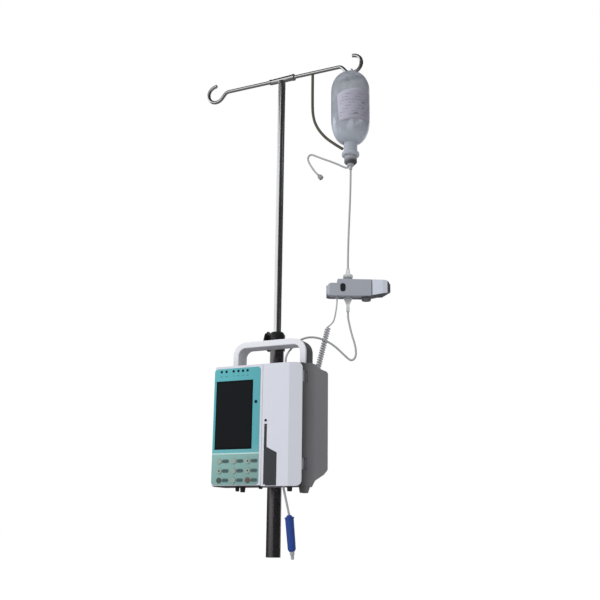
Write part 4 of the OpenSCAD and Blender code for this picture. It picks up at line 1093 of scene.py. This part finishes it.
class DRIP_OT_lines(PieceOperator):
    """Lay the tether, the drip lines and the sensor's curly cord"""

    bl_idname = "drip.lines"
    bl_label = "Lines and Cords"

    def make(self, sizes):
        dress("end_sheath", "luer_tip", "sensor_plug", "pump_segment", "drip_chamber")
        steps = 15
        drip = []
        for i in range(steps + 1):
            t = i / steps
            ease = t * t * (3 - 2 * t)
            drip.append([a + (b - a) * (ease if k == 0 else t)
                         for k, (a, b) in enumerate(zip(DRIP_TOP, DRIP_END))])
        line = sizes.line_d / MM / 2
        self.lay("tether", TETHER, sizes.tether_d / MM / 2, "tether_rubber", "object",
                 bodies=("mast", "hanging_bottle"), across=(TETHER[0], TETHER[-1]))
        self.lay("vent_tube", VENT, line, "line_pvc", "fitting", body="hanging_bottle",
                 pieces=("vent_filter",))
        self.lay("drip_line", drip, line, "line_pvc", "object",
                 bodies=("hanging_bottle", "mast"), across=(DRIP_TOP, DRIP_END))
        self.lay("pump_line", PUMP_LOOP + PUMP_DIP + PUMP_INLET, line, "line_pvc", "object",
                 bodies=("mast", "stand"), across=(PUMP_LOOP[0], LOOP_HOLD))
        self.lay("outlet_line", OUTLET, line, "line_pvc", "fitting", body="stand",
                 pieces=("end_sheath", "luer_tip"))
        self.lay("sensor_cord", self.curly(sizes), sizes.cord_d / MM / 2, "cord_grey", "plug",
                 bodies=("mast", "stand"), across=(CORD_LEAD[0], CURL_TOP),
                 pieces=("sensor_plug",), per=2)

    def curly(self, sizes):
        """The sensor cord: lead, curls and tail."""
        axis = (CURL_LOW - CURL_TOP).normalized()
        u = Vector((0, 1, 0)).cross(axis).normalized()
        v = axis.cross(u)
        rings = 16
        start, least, growth = math.radians(-70), 0.25, 0.75
        count = sizes.curls * rings
        points = [Vector(p) for p in CORD_LEAD]
        for i in range(count + 1):
            a = start + math.tau * i / rings
            grow = min(1, min(i, count - i) / (growth * rings) + least)
            r = sizes.curl_r / MM * grow
            middle = CURL_TOP + (CURL_LOW - CURL_TOP) * i / count
            points.append(middle + r * (u * math.cos(a) + v * math.sin(a)))
        return [*points, CORD_TAIL, PLUG_TOP]

    def lay(self, node, points, radius, slot, far_end, body=None, bodies=(), across=(),
            pieces=(), per=4):
        """One cord along its route, on one body or bent between two."""
        path = smooth_path(points, per)
        obj = tube(node + "_run", path, radius, slot)
        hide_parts(node)
        if body:
            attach(obj, body)
        else:
            start, end = ([v * MM for v in p] for p in across)
            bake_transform(obj, *bodies, start=start, end=end)
        metres = [p * MM for p in path]
        path_length(path) * MM


class DRIP_OT_sensor(PieceOperator):
    """Dress the drop sensor and add its window, and a grey strip of painted shade for its groove"""

    bl_idname = "drip.sensor"
    bl_label = "Drop Sensor"

    def make(self, sizes):
        dress("sensor_housing", "sensor_lever", "sensor_pin")
        for name, outline, proud, thick, finish in (
                ("sensor_window", SENSOR_WINDOW, 0.25, 0.6, "sensor_window"),
                # Groove: a grey strip of painted shade
                ("sensor_groove_shade", SENSOR_GROOVE, 0.1, 0.5, "pin_grey")):
            piece = slab(
                name, rounded_outline(*outline), SENSOR_FACE - proud, thick, finish, on_sensor)
            settle(piece, "mast", "sensor_grey")


class DRIP_OT_case(PieceOperator):
    """Dress the pump's shells, handle, film, screen and feet, and set its lamps"""

    bl_idname = "drip.case"
    bl_label = "Pump Case"

    def make(self, sizes):
        dress("front_shell", "handle_front", "rear_shell", "handle_rear", "overlay", "lcd_window",
              "feet", "case_screws", "mains_inlet")
        r = sizes.lamp_r / MM
        printed("status_lamps", [(x, LAMP_Z) for x in LAMP_XS], 2 * r, 2 * r, r, 0.3, "lamp_dark")
        printed("lamp_dashes", [(x, DASH_Z) for x in DASH_XS], *LAMP_DASH, "key_ink")
        printed("light_eye", [LIGHT_EYE_XZ], *LIGHT_EYE, "lamp_dark")


class DRIP_OT_keys(PieceOperator):
    """Dress the nine keys and add their marks"""

    bl_idname = "drip.keys"
    bl_label = "Keys"

    def make(self, sizes):
        marks = []
        for n in range(1, 10):
            node = f"key_{n}"
            slot = KEY_SLOTS.get(n, "key_cream")
            dressed(node, slot, KEY_EDGE)
            low, high = box_mm(node)
            x, z = (low[0] + high[0]) / 2, (low[2] + high[2]) / 2
            marks.append((x + KEY_TO_MARK, z))
            if n in DOTTED_KEYS:
                place = (x + DOT_SHIFT, low[1], z)
                dot = stamped(f"key_dot_{n}", [place], *KEY_DOT, "print_ink")
                settle(dot, body_of(node), slot)
        dashes = [(x + d, z) for x, z in marks for d in MARK_DASHES]
        printed("key_strokes", dashes, *KEY_DASH, "print_ink", lift=0.12)
        width, height = sizes.mark_w / MM, sizes.mark_h / MM
        printed("key_marks", marks, width, height, height / 2, 0.12, "key_ink")


class DRIP_OT_door(PieceOperator):
    """Dress the pump's door, its hinge pins and its latch"""

    bl_idname = "drip.door"
    bl_label = "Pump Door"

    def make(self, sizes):
        dressed("door", *PIECES["door"], shaped=self.round_corners)
        dress("door_pins", "latch_lever", "latch_pin", "platen")
        front = box_mm("door")[0][1]
        low, high = box_mm("latch_lever")
        inset, drop, lap = 3.8, 2.3, 1
        outline = rounded_outline(low[0] + inset, low[2] - drop, high[0], low[2] + lap, 0.4)
        toe = slab("latch_toe", outline, front - 0.25, 0.2, "dark_grey_plastic")
        settle(toe, body_of("latch_lever"), "dark_grey_plastic")
        low, high = box_mm("latch_pin")
        place = ((low[0] + high[0]) / 2, front, high[2] - 2)
        eye = stamped("latch_eye", [place], *LATCH_EYE, "lamp_dark")
        settle(eye, body_of("door"), "black_plastic")

    def round_corners(self, door):
        """Rounds the door's two corners on the hinge side."""
        low, high = box_mm("door")
        radius, room = 9, 0.01
        outline = rounded_outline(
            low[0] - 3 * radius, low[2] - room, high[0] + room, high[2] + room, radius)
        window = slab("corner_window", outline, low[1] - 1, high[1] - low[1] + 2, "door_white")
        carve(door, window, "INTERSECT")


class DRIP_OT_drive(PieceOperator):
    """Dress the drive behind the door and what is inside the case"""

    bl_idname = "drip.drive"
    bl_label = "Pump Drive"

    def make(self, sizes):
        dress("chassis", "camshaft", "fingers", "motor", "motor_pinion", "main_board", "battery")


class DRIP_OT_clamp(PieceOperator):
    """Dress the pole clamp"""

    bl_idname = "drip.clamp"
    bl_label = "Pole Clamp"

    def make(self, sizes):
        dress("clamp_body", "clamp_jaw", "clamp_screw")


class DRIP_OT_stage(bpy.types.Operator):
    """Set the sky, the floor, the dark cards, the lamps and the camera"""

    bl_idname = "drip.stage"
    bl_label = "Stage"
    bl_options = {"INTERNAL"}

    def execute(self, context):
        scene = context.scene
        scene.view_settings.view_transform = "Standard"
        self.world(scene)
        self.floor()
        self.cards()
        self.lamp("Key", (-1.6, -2.6, 2.4), 2.2, 70)
        self.lamp("Fill", (2.4, -2.0, 1.4), 2.4, 4)
        self.lamp("Top", (0.2, -0.4, 3.4), 2.0, 24)
        self.camera(scene)
        return {"FINISHED"}

    def world(self, scene):
        """White to the eye and in reflections, softer grey as light."""
        world = bpy.data.worlds.new("Studio")
        scene.world = world
        world.use_nodes = True
        world.node_tree.nodes.clear()
        nodes = Nodes(world.node_tree)
        eye, gloss, through = (
            nodes.node("ShaderNodeLightPath", out=f"Is {ray} Ray")
            for ray in ("Camera", "Glossy", "Transmission"))
        soft, bright = (
            nodes.node("ShaderNodeBackground", {"Color": (1, 1, 1, 1), "Strength": level})
            for level in (0.46, 1.0))
        sky = nodes.node("ShaderNodeMixShader", {
            0: eye.either(gloss).either(through), 1: soft, 2: bright})
        nodes.node("ShaderNodeOutputWorld", {0: sky})

    def floor(self):
        """A pale floor, lit mostly white to the eye so that only a soft shadow shows."""
        half, z = 8.0, -0.002
        mesh = bpy.data.meshes.new("floor")
        mesh.from_pydata(
            [(-half, -half, z), (half, -half, z), (half, half, z), (-half, half, z)], [],
            [(0, 1, 2, 3)])
        pale = Finish("pale_floor", (0.85, 0.85, 0.85), 0.9)
        seen = pale.node("ShaderNodeLightPath", out="Is Camera Ray")
        share, level = 0.85, 1.1
        glow = pale.node("ShaderNodeEmission", {"Strength": level})
        lit = Value(pale, pale.shader.outputs[0])
        both = pale.node("ShaderNodeMixShader", {0: seen * share, 1: lit, 2: glow})
        pale.fill(pale.tree.nodes["Material Output"].inputs[0], both)
        mesh.materials.append(pale.material)
        new_object("floor", mesh)

    def cards(self):
        """Dark cards out of sight, which only the bright metal reflects."""
        far = 3.2
        for name, start, end, low, high in (
                ("side_card", -98, 60, 0.35, 2.8), ("low_right_card", -72, 60, -0.1, 0.35),
                ("low_left_card", 117, 217, -0.1, 0.5)):
            points, faces, steps = [], [], 24
            for i in range(steps + 1):
                a = math.radians(start + (end - start) * i / steps)
                points += [(far * math.cos(a), far * math.sin(a), z) for z in (low, high)]
            for i in range(steps):
                faces.append((2 * i, 2 * i + 2, 2 * i + 3, 2 * i + 1))
            self.card(name, points, faces, 0.055)
        for name, z, tone in (("roof_card", 2.8, 0.06), ("ground_card", -0.001, 0.14)):
            self.card(name, [(far * x, far * y, z) for x, y in (
                (-1, -1), (1, -1), (1, 1), (-1, 1))], [(0, 1, 2, 3)], tone)

    def card(self, name, points, faces, tone):
        """One card of a dark tone."""
        mesh = bpy.data.meshes.new(name)
        mesh.from_pydata(points, [], faces)
        mesh.materials.append(Finish(name + "_cloth", (tone, tone, tone), 1).material)
        card = new_object(name, mesh)
        card.visible_camera = False
        card.visible_diffuse = False
        card.visible_shadow = False
        card.visible_transmission = False

    def lamp(self, name, place, size, watts):
        """A soft area lamp aimed at the middle of the pole."""
        data = bpy.data.lights.new(name, "AREA")
        data.energy = watts
        data.size = size
        obj = new_object(name, data)
        obj.location = place
        aim = Vector((0.05, -0.05, 0.5)) - Vector(place)
        obj.rotation_euler = aim.to_track_quat("-Z", "Y").to_euler()
        obj.visible_glossy = False

    def camera(self, scene):
        """A low viewpoint to the right of the pump's front."""
        data = bpy.data.cameras.new("Camera")
        data.lens = 52.2
        data.sensor_width = 36
        place = (0.763368, -1.531078, 0.047959)
        turn, tilt, roll = (math.radians(a) for a in (25, 14.9, 0.7))
        obj = new_object("Camera", data)
        obj.matrix_world = (
            Matrix.Translation(place) @ Matrix.Rotation(turn, 4, "Z")
            @ Matrix.Rotation(math.pi / 2 + tilt, 4, "X") @ Matrix.Rotation(roll, 4, "Z"))
        scene.camera = obj


STEPS = (
    DRIP_OT_pole, DRIP_OT_bottle, DRIP_OT_lines, DRIP_OT_sensor, DRIP_OT_case, DRIP_OT_keys,
    DRIP_OT_door, DRIP_OT_drive, DRIP_OT_clamp, DRIP_OT_stage,
)


class DRIP_PT_panel(bpy.types.Panel):
    """Sidebar list of the dressing's settings and steps"""

    bl_label = "Drip Pole"
    bl_idname = "DRIP_PT_panel"
    bl_space_type = "VIEW_3D"
    bl_region_type = "UI"
    bl_category = "Drip Pole"

    def draw(self, context):
        column = self.layout.column()
        for group in (context.scene.drip_sizes, context.scene.drip_colours):
            for name in group.bl_rna.properties.keys():
                if name not in ("rna_type", "name"):
                    column.prop(group, name)
        for step in STEPS:
            column.operator(step.bl_idname)


CLASSES = (DRIP_PG_sizes, DRIP_PG_colours, *STEPS, DRIP_PT_panel)


def register():
    for cls in CLASSES:
        bpy.utils.register_class(cls)
    bpy.types.Scene.drip_sizes = bpy.props.PointerProperty(type=DRIP_PG_sizes)
    bpy.types.Scene.drip_colours = bpy.props.PointerProperty(type=DRIP_PG_colours)


def unregister():
    del bpy.types.Scene.drip_colours
    del bpy.types.Scene.drip_sizes
    for cls in reversed(CLASSES):
        bpy.utils.unregister_class(cls)


def main():
    register()
    for step in STEPS:
        group, name = step.bl_idname.split(".")
        getattr(getattr(bpy.ops, group), name)()


if __name__ == "__main__":
    main()
